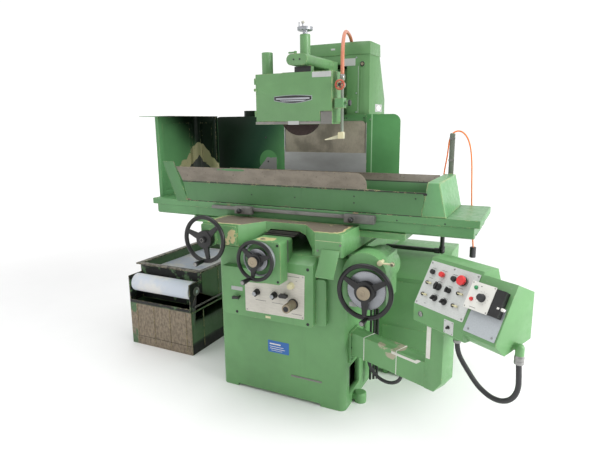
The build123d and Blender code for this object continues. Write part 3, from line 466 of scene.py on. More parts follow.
looks = {
    "head": enamel("head_enamel", GREEN_HEAD, chips=0.7),
    "column": enamel("column_enamel", GREEN_COLUMN, chips=0.35),
    "base": enamel("base_enamel", GREEN_BASE, chips=0.3, grime=0.22),
    "housing": enamel("housing_enamel", GREEN_BASE, chips=1.0,
                      patches=(worn(-70, 60, -130, -40, 1.0, PRIMER), worn(-60, 40, -125, -50, 1.1, BARE))),
    "saddle": enamel("saddle_enamel", GREEN_BASE, chips=0.8,
                     patches=(worn(-405, 408, -90, 140, 0.95, PRIMER), worn(-400, 400, -84, 140, 1.04, BARE),
                              chipped_boss)),
    "boss": enamel("boss_enamel", GREEN_BASE, chips=0.8, patches=(chipped_boss,)),
    "table": enamel("table_enamel", GREEN_TABLE, chips=0.5, patches=(slab_drips,)),
    "wall": enamel("wall_enamel", srgb(104, 158, 106), chips=1.0, patches=(wall_wear, post_steel)),
    # The trough's patches include a painted shadow line along its foot.
    "trough": enamel("trough_enamel", srgb(76, 122, 76), chips=0.5,
                     patches=(slab_rust, rusty_strip, strip_line_and_foot_shadow)),
    # hood_shade paints shade on the hood's inside.
    "hood": enamel("hood_enamel", srgb(92, 142, 94),
                   patches=(hood_shade, bared_peak(1429, -0.8266, 0.72, 0.9, srgb(166, 160, 124)),
                            bared_peak(1338, -0.825, 0.75, 0.75, srgb(70, 72, 70))), shine=0.25),
    # The wing patches include painted shade on the left wing and a painted highlight along the right wing's
    # fold.
    "wings": enamel("wing_enamel", srgb(86, 142, 88), patches=(wing_painted_shade, wing_stain, wing_bare, wing_fold_highlight),
                    shine=0.15),
    "way_cover": enamel("way_cover_enamel", srgb(84, 134, 84), chips=0.3, grime=0.2, patches=(bare_sheet,)),
    "riser": enamel("riser_enamel", srgb(112, 122, 108), chips=0.9, patches=(nozzle_cream, bracket_green)),
    "tank": enamel("tank_enamel", srgb(82, 112, 76), chips=1.0, grime=0.9, gloss=0.5,
                   patches=(tank_rust, tank_black, tank_rim, tank_oil)),
    "arm": enamel("arm_enamel", GREEN_BASE, chips=0.3,
                  patches=(scrape((655, 10, 442), 0.13, 1.12, 8, srgb(170, 162, 140)),)),
    "pendant": enamel("pendant_enamel", GREEN_BASE, chips=0.3,
                      patches=(scrape((1180, -270, 672), 0.1, 1.14, 18, srgb(150, 128, 104)),)),
    "sheet": metal("cover_sheet", srgb(156, 148, 132), 0.46, (1, 1, 0.2), metallic=0.35, dirt=0.7),
    "bar": metal("bar_steel", srgb(122, 122, 118), 0.4, dirt=0.7, metallic=0.5),
    "dark_sheet": metal("dark_cover_sheet", srgb(78, 76, 72), 0.42, (1, 0.2, 1), metallic=0.5),
    "steel": metal("turned_steel", STEEL, 0.3),
    "box": metal("worn_box", srgb(118, 117, 112), 0.5, dirt=0.6, metallic=0.2),
    "dull": metal("dull_steel", srgb(136, 134, 130), 0.42, dirt=0.5, metallic=0.6),
    "cap": metal("worn_cap", srgb(158, 146, 126), 0.36, metallic=0.7),
    "dial": metal("satin_dial", srgb(164, 167, 172), 0.36, (1, 0.2, 1), metallic=0.55, dirt=0.25),
    "chuck": metal("chuck_steel", srgb(104, 102, 98), 0.35, (1, 0.15, 1), dirt=0.8),
    "aluminium": metal("brushed_aluminium", srgb(184, 190, 194), 0.42, (0.08, 1, 1), 400, 0.2, 0.55),
    "plate": metal("grey_plate", srgb(206, 202, 192), 0.5, (0.1, 1, 1), 300, 0.15, 0.1),
    "panel": metal("pendant_plate", srgb(204, 207, 204), 0.5, (0.1, 1, 1), 300, 0.15, 0.15),
    "black": moulded("black_lacquer", srgb(17, 17, 18), 0.36, dust=0.06),
    "plastic": moulded("black_plastic", srgb(24, 24, 25), 0.34),
    "rubber": moulded("black_rubber", srgb(48, 48, 50), 0.62, dust=0.5),
    "pipe": moulded("black_pipe", srgb(20, 24, 22), 0.36),
    "orange": moulded("orange_sheath", srgb(238, 122, 42), 0.45, dust=0.15),
    "hose": moulded("copper_hose", srgb(178, 110, 82), 0.42, dust=0.45),
    "red": moulded("red_plastic", srgb(216, 40, 44), 0.3, coat=0.3, dust=0.1),
    "valve_red": enamel("valve_red", srgb(176, 84, 62), chips=1.0, grime=0.9),
    "green_lens": moulded("green_lens", srgb(24, 140, 80), 0.25, coat=0.4, dust=0.1),
    "cream": moulded("cream_plastic", srgb(204, 198, 160), 0.38),
    "white": moulded("white_plastic", srgb(224, 223, 216), 0.5, dust=0.1),
    "label": moulded("plain_label", srgb(172, 174, 172), 0.5, dust=0.3),
    "blue": moulded("blue_plate", srgb(44, 102, 172), 0.4, dust=0.15),
    "print": moulded("dark_print", srgb(70, 72, 72), 0.5),
    "strap": moulded("white_trunking", srgb(214, 212, 204), 0.5, dust=0.3),
}


def make_abrasive():
    """Bonded grains, dark brown, with a coarse broken surface."""
    look = Look("abrasive", 0.9)
    grains = look.grains(900)
    colour = look.mix(look.ramp(grains, 0.1, 0.6), srgb(94, 76, 72), srgb(44, 34, 33))
    look.colour(look.mix(look.ramp(look.noise(9, 5), 0.4, 0.7), colour, srgb(70, 56, 52)))
    look.bump(grains, 0.7)
    return look.material


def make_paper():
    """Non-woven filter paper: a faint random fibre web with pale damp areas."""
    look = Look("filter_paper", 0.9)
    web = look.noise(900, 5, (1, 0.25, 1))
    damp = look.ramp(look.noise(5, 3), 0.42, 0.62)
    colour = look.mix(damp, srgb(226, 226, 224), srgb(206, 214, 226))
    look.colour(look.mix(look.product(look.ramp(web, 0.4, 0.65), 0.25), colour, srgb(182, 182, 184)))
    look.bump(web, 0.3)
    return look.material


looks["abrasive"] = make_abrasive()
looks["paper"] = make_paper()

NODE_LOOKS = {
    "base": ("base_casting", "levelling_feet", "control_box", "elevating_housing", "side_cabinet",
             "horn_cover"),
    "housing": ("crossfeed_housing",), "column": ("column_casting", "column_cap"),
    "sheet": ("sliding_way_cover",), "way_cover": ("fixed_way_cover",), "wings": ("splash_wings",),
    "steel": ("elevating_screw", "spindle_shaft", "dresser_quill"), "tank": ("filter_tank",),
    "pipe": ("drain_pipe", "spindle_motor"), "arm": ("pendant_arm",), "saddle": ("saddle_casting",),
    "boss": ("traverse_housing",), "dark_sheet": ("front_way_cover",), "table": ("table_casting",),
    "wall": ("end_wall",), "chuck": ("magnetic_chuck",), "trough": ("coolant_trough",), "hood": ("end_hood",),
    "bar": ("dog_bar", "left_dog", "right_dog"), "riser": ("coolant_pipe",), "rubber": ("chuck_plug",),
    "head": ("wheelhead_casting", "wheel_guard", "dresser_arm", "guard_door"),
    "abrasive": ("grinding_wheel",), "dial": ("dresser_knob",), "valve_red": ("coolant_valve_wheel",),
    "paper": ("paper_roll",),
    "black": ("elevating_handwheel", "crossfeed_handwheel", "traverse_handwheel"),
    "plastic": ("start_lever", "left_feed_knob", "right_feed_knob", "reversing_lever", "start_button",
                "infeed_knob", "mode_selector"),
    "cap": ("speed_knob",), "cream": ("cream_knob", "clutch_lever"), "pendant": ("pendant_box",),
    "red": ("stop_button", "wheel_stop_button"),
}
EDGE_WIDTHS = {"base_casting": 6, "column_casting": 5, "column_cap": 5, "saddle_casting": 7,
               "table_casting": 5, "end_wall": 12, "wheelhead_casting": 5, "elevating_housing": 7,
               "control_box": 9, "crossfeed_housing": 4, "pendant_box": 4, "side_cabinet": 4,
               "pendant_arm": 6, "wheel_guard": 1.5, "guard_door": 1.2, "end_hood": 1.2,
               "magnetic_chuck": 1.5, "dresser_arm": 3, "left_dog": 2, "right_dog": 2, "filter_tank": 1.2}


def dress_cad_node(name, look):
    """Gives a CAD node its material, and rounded edges as modifiers, which leave its mesh alone."""
    obj = nodes[name]
    obj.data.materials.clear()
    obj.data.materials.append(looks[look])
    weld = obj.modifiers.new("weld", "WELD")
    weld.merge_threshold = 0.00001
    width = EDGE_WIDTHS.get(name, 0.6) * MM
    bevel = obj.modifiers.new("edges", "BEVEL")
    bevel.width, bevel.segments = width, 3
    bevel.limit_method, bevel.angle_limit = "ANGLE", math.radians(38)
    bevel.harden_normals = True
    bevel.use_clamp_overlap = True
    shade_smooth(obj.data)


for look_name, members in NODE_LOOKS.items():
    for member in members:
        dress_cad_node(member, look_name)


# ---- camera, floor and light ----
def make_camera():
    camera = show("camera", bpy.data.cameras.new("camera"))
    right, up = Vector((0.89710, 0.44170, -0.01061)), Vector((-0.07967, 0.18533, 0.97944))
    camera.matrix_world = place(at(1288, -2309.5, 1550), right, up)
    camera.data.lens, camera.data.sensor_width = 30.08, 36
    bpy.context.scene.camera = camera


def make_light(name, location, target, size, power):
    lamp = bpy.data.lights.new(name, "AREA")
    lamp.size, lamp.energy = size, power
    obj = show(name, lamp)
    obj.location = location
    obj.rotation_euler = (Vector(target) - Vector(location)).to_track_quat("-Z", "Y").to_euler()


def make_stage():
    scene = bpy.context.scene
    scene.view_settings.view_transform = "Standard"
    world = bpy.data.worlds.new("studio")
    scene.world = world
    world.use_nodes = True
    tree = world.node_tree
    background = tree.nodes["Background"]
    background.inputs[0].default_value = (1.0, 1.0, 1.0, 1.0)
    towards = tree.nodes.new("ShaderNodeVectorMath")
    towards.operation = "DOT_PRODUCT"
    towards.inputs[1].default_value = (-0.35, 0.93, 0.1)
    tree.links.new(tree.nodes.new("ShaderNodeTexCoord").outputs["Generated"], towards.inputs[0])
    strength = tree.nodes.new("ShaderNodeMapRange")
    strength.inputs["From Min"].default_value, strength.inputs["From Max"].default_value = -0.6, 0.5
    strength.inputs["To Min"].default_value, strength.inputs["To Max"].default_value = 0.5, 1.06
    tree.links.new(towards.outputs["Value"], strength.inputs["Value"])
    tree.links.new(strength.outputs["Result"], background.inputs[1])
    mesh = bpy.data.meshes.new("floor")
    reach = 30
    corners = [(-reach, -reach, 0), (reach, -reach, 0), (reach, reach, 0), (-reach, reach, 0)]
    mesh.from_pydata(corners, [], [(0, 1, 2, 3)])
    floor = show("floor", mesh)
    look = Look("pale_floor", 0.8)
    look.colour(look.mix(look.noise(3), srgb(243, 243, 243), srgb(247, 247, 247)))
    away = look.node("ShaderNodeVectorMath", {0: look.coords}, operation="LENGTH")
    glow_start, glow_end, glow_strength = 2.6, 7.0, 0.4
    glow = look.product(look.ramp(away.outputs["Value"], glow_start, glow_end), glow_strength)
    look.shader.inputs["Emission Color"].default_value = (1, 1, 1, 1)
    look.put(look.shader.inputs["Emission Strength"], glow)
    mesh.materials.append(look.material)
    make_light("key", (5.2, -0.9, 2.6), (0.2, 0, 0.9), 2.5, 240)
    make_light("top", (-0.4, -0.8, 4.6), (0, 0, 1), 3.0, 70)
    make_light("fill", (-2.6, -4.2, 2.0), (0, 0, 0.9), 3.0, 25)


make_camera()
make_stage()


def finish_piece(mesh, name, look, body="root", smooth=30):
    """Shows a mesh with its look, riding a body."""
    obj = show(name, mesh)
    mesh.materials.append(looks[look])
    if smooth:
        shade_smooth(mesh)
        mesh.set_sharp_from_angle(angle=math.radians(smooth))
    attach(obj, body)
    return obj


def to_mesh(bm, name):
    bmesh.ops.recalc_face_normals(bm, faces=bm.faces)
    mesh = bpy.data.meshes.new(name)
    bm.to_mesh(mesh)
    bm.free()
    return mesh


def rounded(points, radius, steps=5):
    """An outline in mm with each corner rounded by an arc."""
    count, result = len(points), []
    for i, point in enumerate(points):
        here = Vector(point)
        before, after = Vector(points[i - 1]) - here, Vector(points[(i + 1) % count]) - here
        turn = before.angle(after)
        reach = min(radius / math.tan(turn / 2), 0.49 * before.length, 0.49 * after.length)
        start, end = here + before.normalized() * reach, here + after.normalized() * reach
        for k in range(steps + 1):
            t = k / steps
            result.append(start.lerp(here, t).lerp(here.lerp(end, t), t))
    return result


def rectangle(x0, x1, y0, y1):
    return [(x0, y0), (x1, y0), (x1, y1), (x0, y1)]


def around(x, y, width, height):
    return rectangle(x - width / 2, x + width / 2, y - height / 2, y + height / 2)


def join(bm, a, b, wrap=True):
    """Quads between two rows of vertices, closed into a ring if wrap."""
    for i in range(len(a) if wrap else len(a) - 1):
        j = (i + 1) % len(a)
        bm.faces.new((a[i], a[j], b[j], b[i]))


def add_plate(bm, outline, where, bottom, top, bevel=0.4):
    """A flat plate, from an outline in mm on a face, with softened top edges."""
    def row(points, height):
        return [bm.verts.new(where @ Vector((p[0] * MM, p[1] * MM, height * MM))) for p in points]

    centre = sum((Vector(p) for p in outline), Vector((0, 0))) / len(outline)
    inset = []
    for p in outline:
        inward = centre - Vector(p)
        inset.append(Vector(p) + inward.normalized() * min(bevel, inward.length / 2))
    lower, middle, inner = row(outline, bottom), row(outline, top - bevel), row(inset, top)
    join(bm, lower, middle)
    join(bm, middle, inner)
    bm.faces.new(inner)
    bm.faces.new(lower[::-1])


def plates(name, pieces, look, body="root", smooth=30):
    """Plates in one mesh, each given by add_plate's values: outline, place, bottom, top, bevel."""
    bm = bmesh.new()
    for piece in pieces:
        add_plate(bm, *piece)
    return finish_piece(to_mesh(bm, name), name, look, body, smooth)


def plate(name, outline, where, thickness, look, body="root", radius=2.0, lift=0.0):
    return plates(name, [(rounded(outline, radius), where, lift, lift + thickness)], look, body)


def add_lathe(bm, profile, where, steps=32):
    """A turned shape: (radius, height) points in mm about the local Z axis. A zero radius closes an end,
    and a profile that comes back to its first point makes a ring."""
    closed, rings = profile[0] == profile[-1], []
    for radius, height in (profile[:-1] if closed else profile):
        ring = []
        for i in range(steps if radius else 1):
            angle = 2 * math.pi * i / steps
            spot = Vector((radius * math.cos(angle), radius * math.sin(angle), height)) * MM
            ring.append(bm.verts.new(where @ spot))
        rings.append(ring)
    if closed:
        rings.append(rings[0])
    for a, b in zip(rings, rings[1:]):
        if len(a) == len(b):
            join(bm, a, b)
            continue
        for i in range(steps):
            j = (i + 1) % steps
            bm.faces.new((a[0], b[i], b[j]) if len(a) == 1 else (a[i], a[j], b[0]))
    for ring in (rings[0], rings[-1]):
        if len(ring) > 1 and not closed:
            bm.faces.new(ring)


def lathe(name, profile, places, look, body="root", steps=40):
    """The same turned shape at one place, or at each of a list, in one mesh."""
    bm = bmesh.new()
    for where in places if isinstance(places, list) else [places]:
        add_lathe(bm, profile, where, steps)
    return finish_piece(to_mesh(bm, name), name, look, body)


def spot_on(where, x, y, z=0.0):
    return where @ Matrix.Translation(Vector((x, y, z)) * MM)


def turns(where, count):
    """Places evenly turned about a face's normal."""
    return [where @ Matrix.Rotation(2 * math.pi * i / count, 4, "Z") for i in range(count)]


def screws(name, where, spots, radius, look, body="root", height=2.5):
    """Socket screws with domed heads and a recess, all in one mesh."""
    head = [(radius, 0), (radius, height * 0.6), (radius * 0.8, height), (radius * 0.5, height),
            (radius * 0.45, height * 0.35), (0, height * 0.35)]
    return lathe(name, head, [spot_on(where, x, y) for x, y in spots], look, body, 12)


def print_marks(name, where, marks, body="root", lift=2.1):
    """Plain dashes, arcs and ticks that stand in for a panel's markings: (x, y, width, height)."""
    bars = [(around(*mark), where, lift, lift + 0.15, 0.05) for mark in marks]
    return plates(name, bars, "print", body, smooth=0)


def arc_marks(x, y, radius, start, end, count, size=1.6):
    """Ticks evenly spaced on an arc about a knob, in degrees."""
    marks = []
    for i in range(count):
        angle = math.radians(start + (end - start) * i / (count - 1))
        marks.append((x + radius * math.cos(angle), y + radius * math.sin(angle), size, size))
    return marks


def mirrored(lower):
    """A lathe outline whose points below its middle are repeated above it."""
    return lower + [(radius, -height) for radius, height in lower[-2::-1]]


def smooth_curve(name, points, diameter, look):
    """A NURBS tube whose control points are the route's points, in the row frame."""
    curve = bpy.data.curves.new(name, "CURVE")
    curve.dimensions = "3D"
    curve.bevel_depth, curve.bevel_resolution = diameter / 2, 5
    curve.use_fill_caps = True
    curve.resolution_u = 10
    spline = curve.splines.new("NURBS")
    spline.points.add(len(points) - 1)
    for point, spot in zip(spline.points, points):
        point.co = (*spot, 1.0)
    spline.order_u = 3
    spline.use_endpoint_u = True
    curve.materials.append(looks[look])
    return show(name, curve)


def centreline(curve_object):
    """The smooth line of a curve, as points, read from it with no bevel."""
    data = curve_object.data
    depth, caps = data.bevel_depth, data.use_fill_caps
    data.bevel_depth, data.use_fill_caps = 0.0, False
    bpy.context.view_layer.update()
    evaluated = curve_object.evaluated_get(bpy.context.evaluated_depsgraph_get())
    mesh = bpy.data.meshes.new_from_object(evaluated)
    line = [v.co.copy() for v in mesh.vertices]
    bpy.data.meshes.remove(mesh)
    data.bevel_depth, data.use_fill_caps = depth, caps
    return line


def run_length(line):
    return sum((b - a).length for a, b in zip(line, line[1:]))


# ---- cords ----
CHUCK_CABLE = [(758, 615, 1236), (762, 618, 1284), (770, 621, 1336), (775, 623, 1392), (779, 624, 1446),
               (798, 625, 1486), (838, 626, 1494), (874, 626, 1462), (896, 625, 1402), (907, 624, 1316),
               (912, 623, 1208), (918, 623, 1092), (925, 622, 976), (935, 621, 888), (940, 620, 838)]
HOSE = [(276, 258, 1786), (276, 258, 1850), (269, 278, 1926), (247, 345, 1990), (214, 450, 2036),
        (180, 560, 2060), (156, 648, 2066), (145, 716, 2058), (141, 762, 2018), (140, 780, 1962)]
ARM_CABLE = [(504, 82, 304), (512, 79, 264), (544, 69, 228), (592, 54, 208), (644, 37, 212),
             (687, 24, 240), (702, 19, 274), (708, 17, 304)]
CONDUIT = [(172, -6, -334), (177, -6, -374), (201, -5, -410), (240, -3, -448), (270, 0, -478),
           (304, 4, -503), (358, 6, -518), (413, 6, -507), (456, 4, -471), (478, 2, -419),
           (477, 0, -363), (472, 0, -312)]
PENDANT_YAW, PENDANT_TILT = math.radians(-32.3), math.radians(29)
PENDANT_CORNER = (848, -67, 930)


def pendant_point(across, back, up):
    """A point in mm from the pendant panel's top-left corner, in the row frame."""
    x, y, z = PENDANT_CORNER
    cos, sin = math.cos(PENDANT_YAW), math.sin(PENDANT_YAW)
    return at(x + across * cos - back * sin, y + across * sin + back * cos, z + up)


def panel(across, down, lift=0.0):
    """A place on the pendant's sloped face, with local Y up the slope."""
    back = -down * math.sin(PENDANT_TILT) - lift * math.cos(PENDANT_TILT)
    up = -down * math.cos(PENDANT_TILT) + lift * math.sin(PENDANT_TILT)
    origin = pendant_point(across, back, up)
    right = pendant_point(1, 0, 0) - pendant_point(0, 0, 0)
    slope = pendant_point(0, math.sin(PENDANT_TILT), math.cos(PENDANT_TILT)) - pendant_point(0, 0, 0)
    return place(origin, right, slope)


def free_cord(name, route, diameter, look, body, node, far_end, slot, with_pieces=(), **facts):
    cord = smooth_curve(name, route, diameter, look)
    length = run_length(centreline(cord))
    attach(cord, body)
    if node:
        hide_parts(node)
    return cord


free_cord("chuck_lead", [at(*p) for p in CHUCK_CABLE], 0.008, "orange", "table", "chuck_cable", "plug",
          "orange_cable", [nodes["chuck_plug"]], lay="hanging")
free_cord("arm_loop", [at(*p) for p in ARM_CABLE], 0.018, "rubber", "root", "arm_cable", "object",
          "black_rubber", lay="hanging")
conduit_route = [pendant_point(*p) for p in CONDUIT]
free_cord("conduit", conduit_route, 0.022, "rubber", "pendant", "pendant_conduit", "object",
          "black_rubber", lay="hanging", stiffness="stiff")


def make_hose():
    """The coolant hose as a mesh tube between the column and the wheelhead."""
    radius, steps = 0.010, 20
    guide = smooth_curve("hose_guide", [at(*p) for p in HOSE], 2 * radius, "hose")
    line = centreline(guide)
    bpy.data.objects.remove(guide)
    bm = bmesh.new()
    rings, across = [], Vector((1, 0, 0))
    for i, spot in enumerate(line):
        ahead = (line[min(i + 1, len(line) - 1)] - line[max(i - 1, 0)]).normalized()
        across = (across - ahead * across.dot(ahead)).normalized()
        other = ahead.cross(across)
        ring = []
        for k in range(steps):
            angle = 2 * math.pi * k / steps
            ring.append(bm.verts.new(spot + radius * (math.cos(angle) * across + math.sin(angle) * other)))
        rings.append(ring)
    for a, b in zip(rings, rings[1:]):
        join(bm, a, b)
    bm.faces.new(rings[0][::-1])
    bm.faces.new(rings[-1])
    mesh = to_mesh(bm, "hose")
    mesh.materials.append(looks["hose"])
    shade_smooth(mesh)
    hose = show("hose", mesh)
    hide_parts("coolant_hose")
    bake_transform(hose)


make_hose()


# ---- handwheels ----
def dress_handwheel(name, axis, rim_y, ring_radius, cap_radius, dial, grip_angle, cap_look="cap"):
    """Worn cap, graduated dial face (inner and outer radius) and bright handle end on one handwheel."""
    (x, z), body = axis, name + "_wheel"
    profile = [(cap_radius, 0), (cap_radius, 3.2), (cap_radius - 2, 4.6), (cap_radius * 0.42, 4.8),
               (cap_radius * 0.36, 3.6), (cap_radius * 0.22, 3.4), (cap_radius * 0.18, 5.0), (0, 5.2)]
    lathe(name + "_cap", profile, front(x, rim_y - 22, z), cap_look, body)
    if dial:
        inner, outer = dial
        face = front(x, rim_y + 23, z)
        ring = [(inner, 0), (inner, 1.2), (outer - 2, 1.2), (outer, 0), (inner, 0)]
        lathe(name + "_dial_face", ring, face, "dial", body, 72)
        ticks = [(rectangle(outer - (7 if i % 5 else 10), outer - 3, -0.35, 0.35), turned, 1.2, 1.35, 0.05)
                 for i, turned in enumerate(turns(face, 60))]
        plates(name + "_dial_ticks", ticks, "print", body, smooth=0)
    hx = x + ring_radius * math.cos(math.radians(grip_angle))
    hz = z + ring_radius * math.sin(math.radians(grip_angle))
    end = [(10, -2), (10, 1.2), (8, 2.4), (3, 2.4), (2.4, 0.8), (0, 0.8)]
    lathe(name + "_grip_end", end, front(hx, rim_y - 82, hz), "steel", body, 24)


dress_handwheel("elevating", (544, 743), -112, 131, 34, (52, 97), -84)
dress_handwheel("crossfeed", (-22, 853), -190, 100, 27, (40, 59), -106)
dress_handwheel("traverse", (-356, 930), -160, 122, 17, None, -94, "black")
lathe("traverse_cap_ring", [(11, 4.4), (11, 5.6), (9, 5.8), (9, 4.4), (11, 4.4)], front(-356, -182, 930),
      "dull", "traverse_wheel")
lathe("crossfeed_collar", [(84, 0), (84, 13), (86, 16), (91, 16), (92, 14), (92, 0), (84, 0)],
      front(-22, -138, 853), "dial", steps=90)

# ---- control plate on the base ----
BOX_FACE = front(0, -60, 0)
BASE_FACE = front(0, 0, 0)


def control_plate():
    outline = [(-170, 517), (193, 522), (198, 765), (63, 773), (62, 716), (50, 702), (-84, 688), (-170, 685)]
    plate("control_plate", outline, BOX_FACE, 2.0, "plate", radius=6)
    corners = [(-160, 527), (184, 531), (188, 756), (72, 763), (-160, 676)]
    screws("control_plate_screws", BOX_FACE, corners, 4, "steel", height=4.0)
    plug = [(8.5, 0.2), (8.5, 1.4), (6.8, 1.4), (6.0, 0.4), (0, 0.4)]
    holes = [spot_on(BOX_FACE, x, z) for x, z in ((32, 792), (216, 800), (-229, 501), (214, 499))]
    lathe("control_box_plugs", plug, holes, "plastic", steps=20)
    marks = [(-70, 592, 66, 2.2), (34, 590, 66, 2.2), (150, 545, 60, 2.2), (128, 752, 80, 2.2)]
    marks += arc_marks(-91, 637, 27, 30, 210, 9) + arc_marks(18, 636, 27, 30, 210, 9)
    marks += arc_marks(131, 602, 38, 20, 200, 13) + [(92, 730, 8, 2), (150, 730, 8, 2)]
    print_marks("control_plate_marks", BOX_FACE, marks)
    for name, x, z in (("left_feed_knob", -91, 637), ("right_feed_knob", 18, 636)):
        lathe(name + "_cap", [(11, 0), (11, 2), (9, 3.5), (0, 4.2)], front(x, -97, z), "dial", name, 28)
    ridges = [(rectangle(23.2, 24.6, -0.8, 0.8), turned, 0, 62, 0.3)
              for turned in turns(front(131, -74, 602), 48)]
    plates("speed_knob_knurl", ridges, "cap", "speed_knob", smooth=0)
    for part, y, profile in (("collar", -66, [(29.2, 0), (29.6, 2), (28, 5), (25, 5.5), (25, 0)]),
                             ("mouth", -150, [(15, 0.5), (15, 1.5), (11, 1.5), (10, -8), (0, -8)])):
        lathe("speed_knob_" + part, profile, front(131, y, 602), "plastic", "speed_knob")


def base_trim():
    plate("blue_plate", rectangle(-67, 67, 265, 336), BASE_FACE, 1.2, "blue", radius=4)
    lines = ((-20, 316, 70, 7), (-12, 300, 88, 3), (-6, 288, 96, 3), (-10, 277, 70, 2))
    bars = [(around(*line), BASE_FACE, 1.2, 1.4, 0.1) for line in lines]
    plates("blue_plate_bars", bars, "white", smooth=0)
    plate("base_strip", rectangle(78, 269, 142, 152), BASE_FACE, 3.0, "dull", radius=4)
    plate("axis_label", rectangle(-262, -188, 628, 650), BOX_FACE, 0.8, "label")
    plate("small_label", rectangle(-44, -12, 494, 506), BOX_FACE, 0.8, "cream", radius=1)
    inner = [flat(366, y, 0) for y in (104, 128, 150)]
    lathe("base_inner_pipes", [(9, 75), (9, 232)], inner, "pipe", steps=16)


def housing_bolts():
    """Socket screws and small fittings of the castings, seen on their faces."""
    table_face = front(0, 150, 0)
    wing_face = place(at(-324, 645, 0), (-548, 62, 0), (0, 0, -1))
    sets = (("horn_screws", front(0, -95, 0), [(410, 956), (288, 919), (-200, 996), (-400, 996)], 6, "dull",
             "saddle", 3),
            ("table_front_screws", table_face, [(-330, 1052), (-240, 1052), (620, 1054), (860, 1054)], 4,
             "plastic", "table", 1),
            ("trough_screws", table_face,
             [(388, 1130), (388, 1165), (-240, 1140), (40, 1140), (712, 1170)], 4, "plastic", "table", 1.2),
            ("crossfeed_bolts", front(0, -138, 0), [(-68, 738), (82, 738), (82, 932), (-68, 932)], 7,
             "plastic", "root", 2.5),
            ("arm_flange_bolts", side(415, 0, 0), [(68, 354), (162, 354)], 7, "plastic", "root", 4),
            ("wing_screws", front(0, 645, 0), [(-306, 1560), (-306, 1140), (306, 1140), (306, 1560)], 5,
             "dull", "root", 2),
            ("stain_screws", wing_face, [(90, -1290), (105, -1450)], 6, "plastic", "root", 2))
    for screw_set in sets:
        screws(*screw_set)
    seam = (rectangle(276, 417, 970, 971.4), front(0, -95, 0), 0, 0.3, 0.1)
    plates("horn_seam", [seam], "cream", "saddle", smooth=0)
    plate("housing_band", rectangle(-60, -48, 724, 946), side(98, 0, 0), 0.8, "bar", radius=1)
    outer = [flat(x, y, 0) for x, y in ((446, 300), (462, 312), (478, 326))]
    lathe("base_side_pipes", [(7, 60), (7, 640)], outer, "pipe", steps=16)
    plate("wheel_tag", rectangle(446, 486, 640, 664), BOX_FACE, 1.0, "label", radius=4)
    tip = mirrored([(0, -12.4), (6, -10.8), (10.8, -6), (12.4, 0)])
    lathe("clutch_tip", tip, front(664, -70, 884), "plastic", "clutch_lever", 28)


control_plate()
base_trim()
housing_bolts()


# ---- wheelhead and column trim ----
def badge(inset):
    """A plain, slightly swollen bar shape for the guard's door."""
    count, upper, lower = 20, [], []
    for i in range(count + 1):
        swell = math.sin(math.pi * i / count)
        x = -125 + inset + (235 - 2 * inset) * i / count
        upper.append((x, 1690 + 6 * swell - inset))
        lower.append((x, 1667 - 16 * swell + inset))
    return lower + upper[::-1]


def head_trim():
    door, sill = front(0, 233, 0), front(0, 236, 0)
    plates("name_rim", [(badge(0), door, 0, 1.6, 0.4)], "dial", "door")
    plates("name_badge", [(badge(2.4), door, 1.2, 2.0, 0.4)], "plastic", "door")
    plate("name_bar", rectangle(-112, 96, 1672, 1681), door, 0.6, "dial", "door", 3, 2)
    plate("name_lower_bar", [(-70, 1662), (56, 1662), (80, 1668), (-94, 1668)], door, 0.6, "dial", "door",
          3, 2)
    plate("guard_label", rectangle(111, 222, 1784, 1812), door, 0.8, "label", "door")
    plate("sill_tag", rectangle(-38, 30, 1535, 1555), door, 1.4, "label", "wheelhead")
    plate("sill_face", rectangle(-250, 158, 1538, 1552), sill, 0.6, "dull", "wheelhead", 1)
    screws("dresser_end_screws", front(0, 228, 0), [(4, 1882), (40, 1882)], 5, "plastic", "wheelhead", 1.5)
    plate("box_face", rectangle(160, 226, 1537, 1604), sill, 2.0, "box", "wheelhead")
    plate("arm_shadow_block", rectangle(-20, 80, 1818, 1850), front(0, 286, 0), 3.0, "plastic", "wheelhead")
    bracket_side = place(at(312, 258, 1646), (0, 1, 0), (0, 0, 1))
    lathe("bracket_knob", [(15, 0), (16.5, 2), (16.5, 9), (14, 12), (0, 13)], bracket_side, "plastic",
          "wheelhead", 28)
    ferrule = [(10.6, 0), (14, 0), (14.4, 6), (13, 9), (14.4, 12), (13, 15), (10.6, 16)]
    lathe("hose_ferrule", ferrule, flat(276, 258, 1778), "steel", "wheelhead", 28)
    lathe("valve_hub", [(9, 0), (9, 2), (5, 4), (0, 4.5)], front(276, 216, 1739), "plastic", "valve_wheel",
          24)
    plate("nozzle_face", rectangle(258, 289, 1459, 1494), front(0, 241.9, 0), 0.6, "cream", "wheelhead", 5)
    lathe("wheel_blotter", [(31, 0), (31, 0.8), (60, 0.8), (60, 0)], front(0, 288, 1602), "label", "spindle",
          48)
    ball_profile = mirrored([(0, -9.2), (5, -7.8), (8.2, -4), (9.2, 0)])
    lathe("dresser_ball", ball_profile, flat(17, 320, 2086), "cream", "dresser_knob", 24)
    ticks = [(rectangle(42.9, 43.25, -0.4, 0.4), turned, 2, 6 if i % 5 else 9, 0.1)
             for i, turned in enumerate(turns(flat(30, 320, 2050), 40))]
    plates("dresser_dial_ticks", ticks, "print", "dresser_knob", smooth=0)


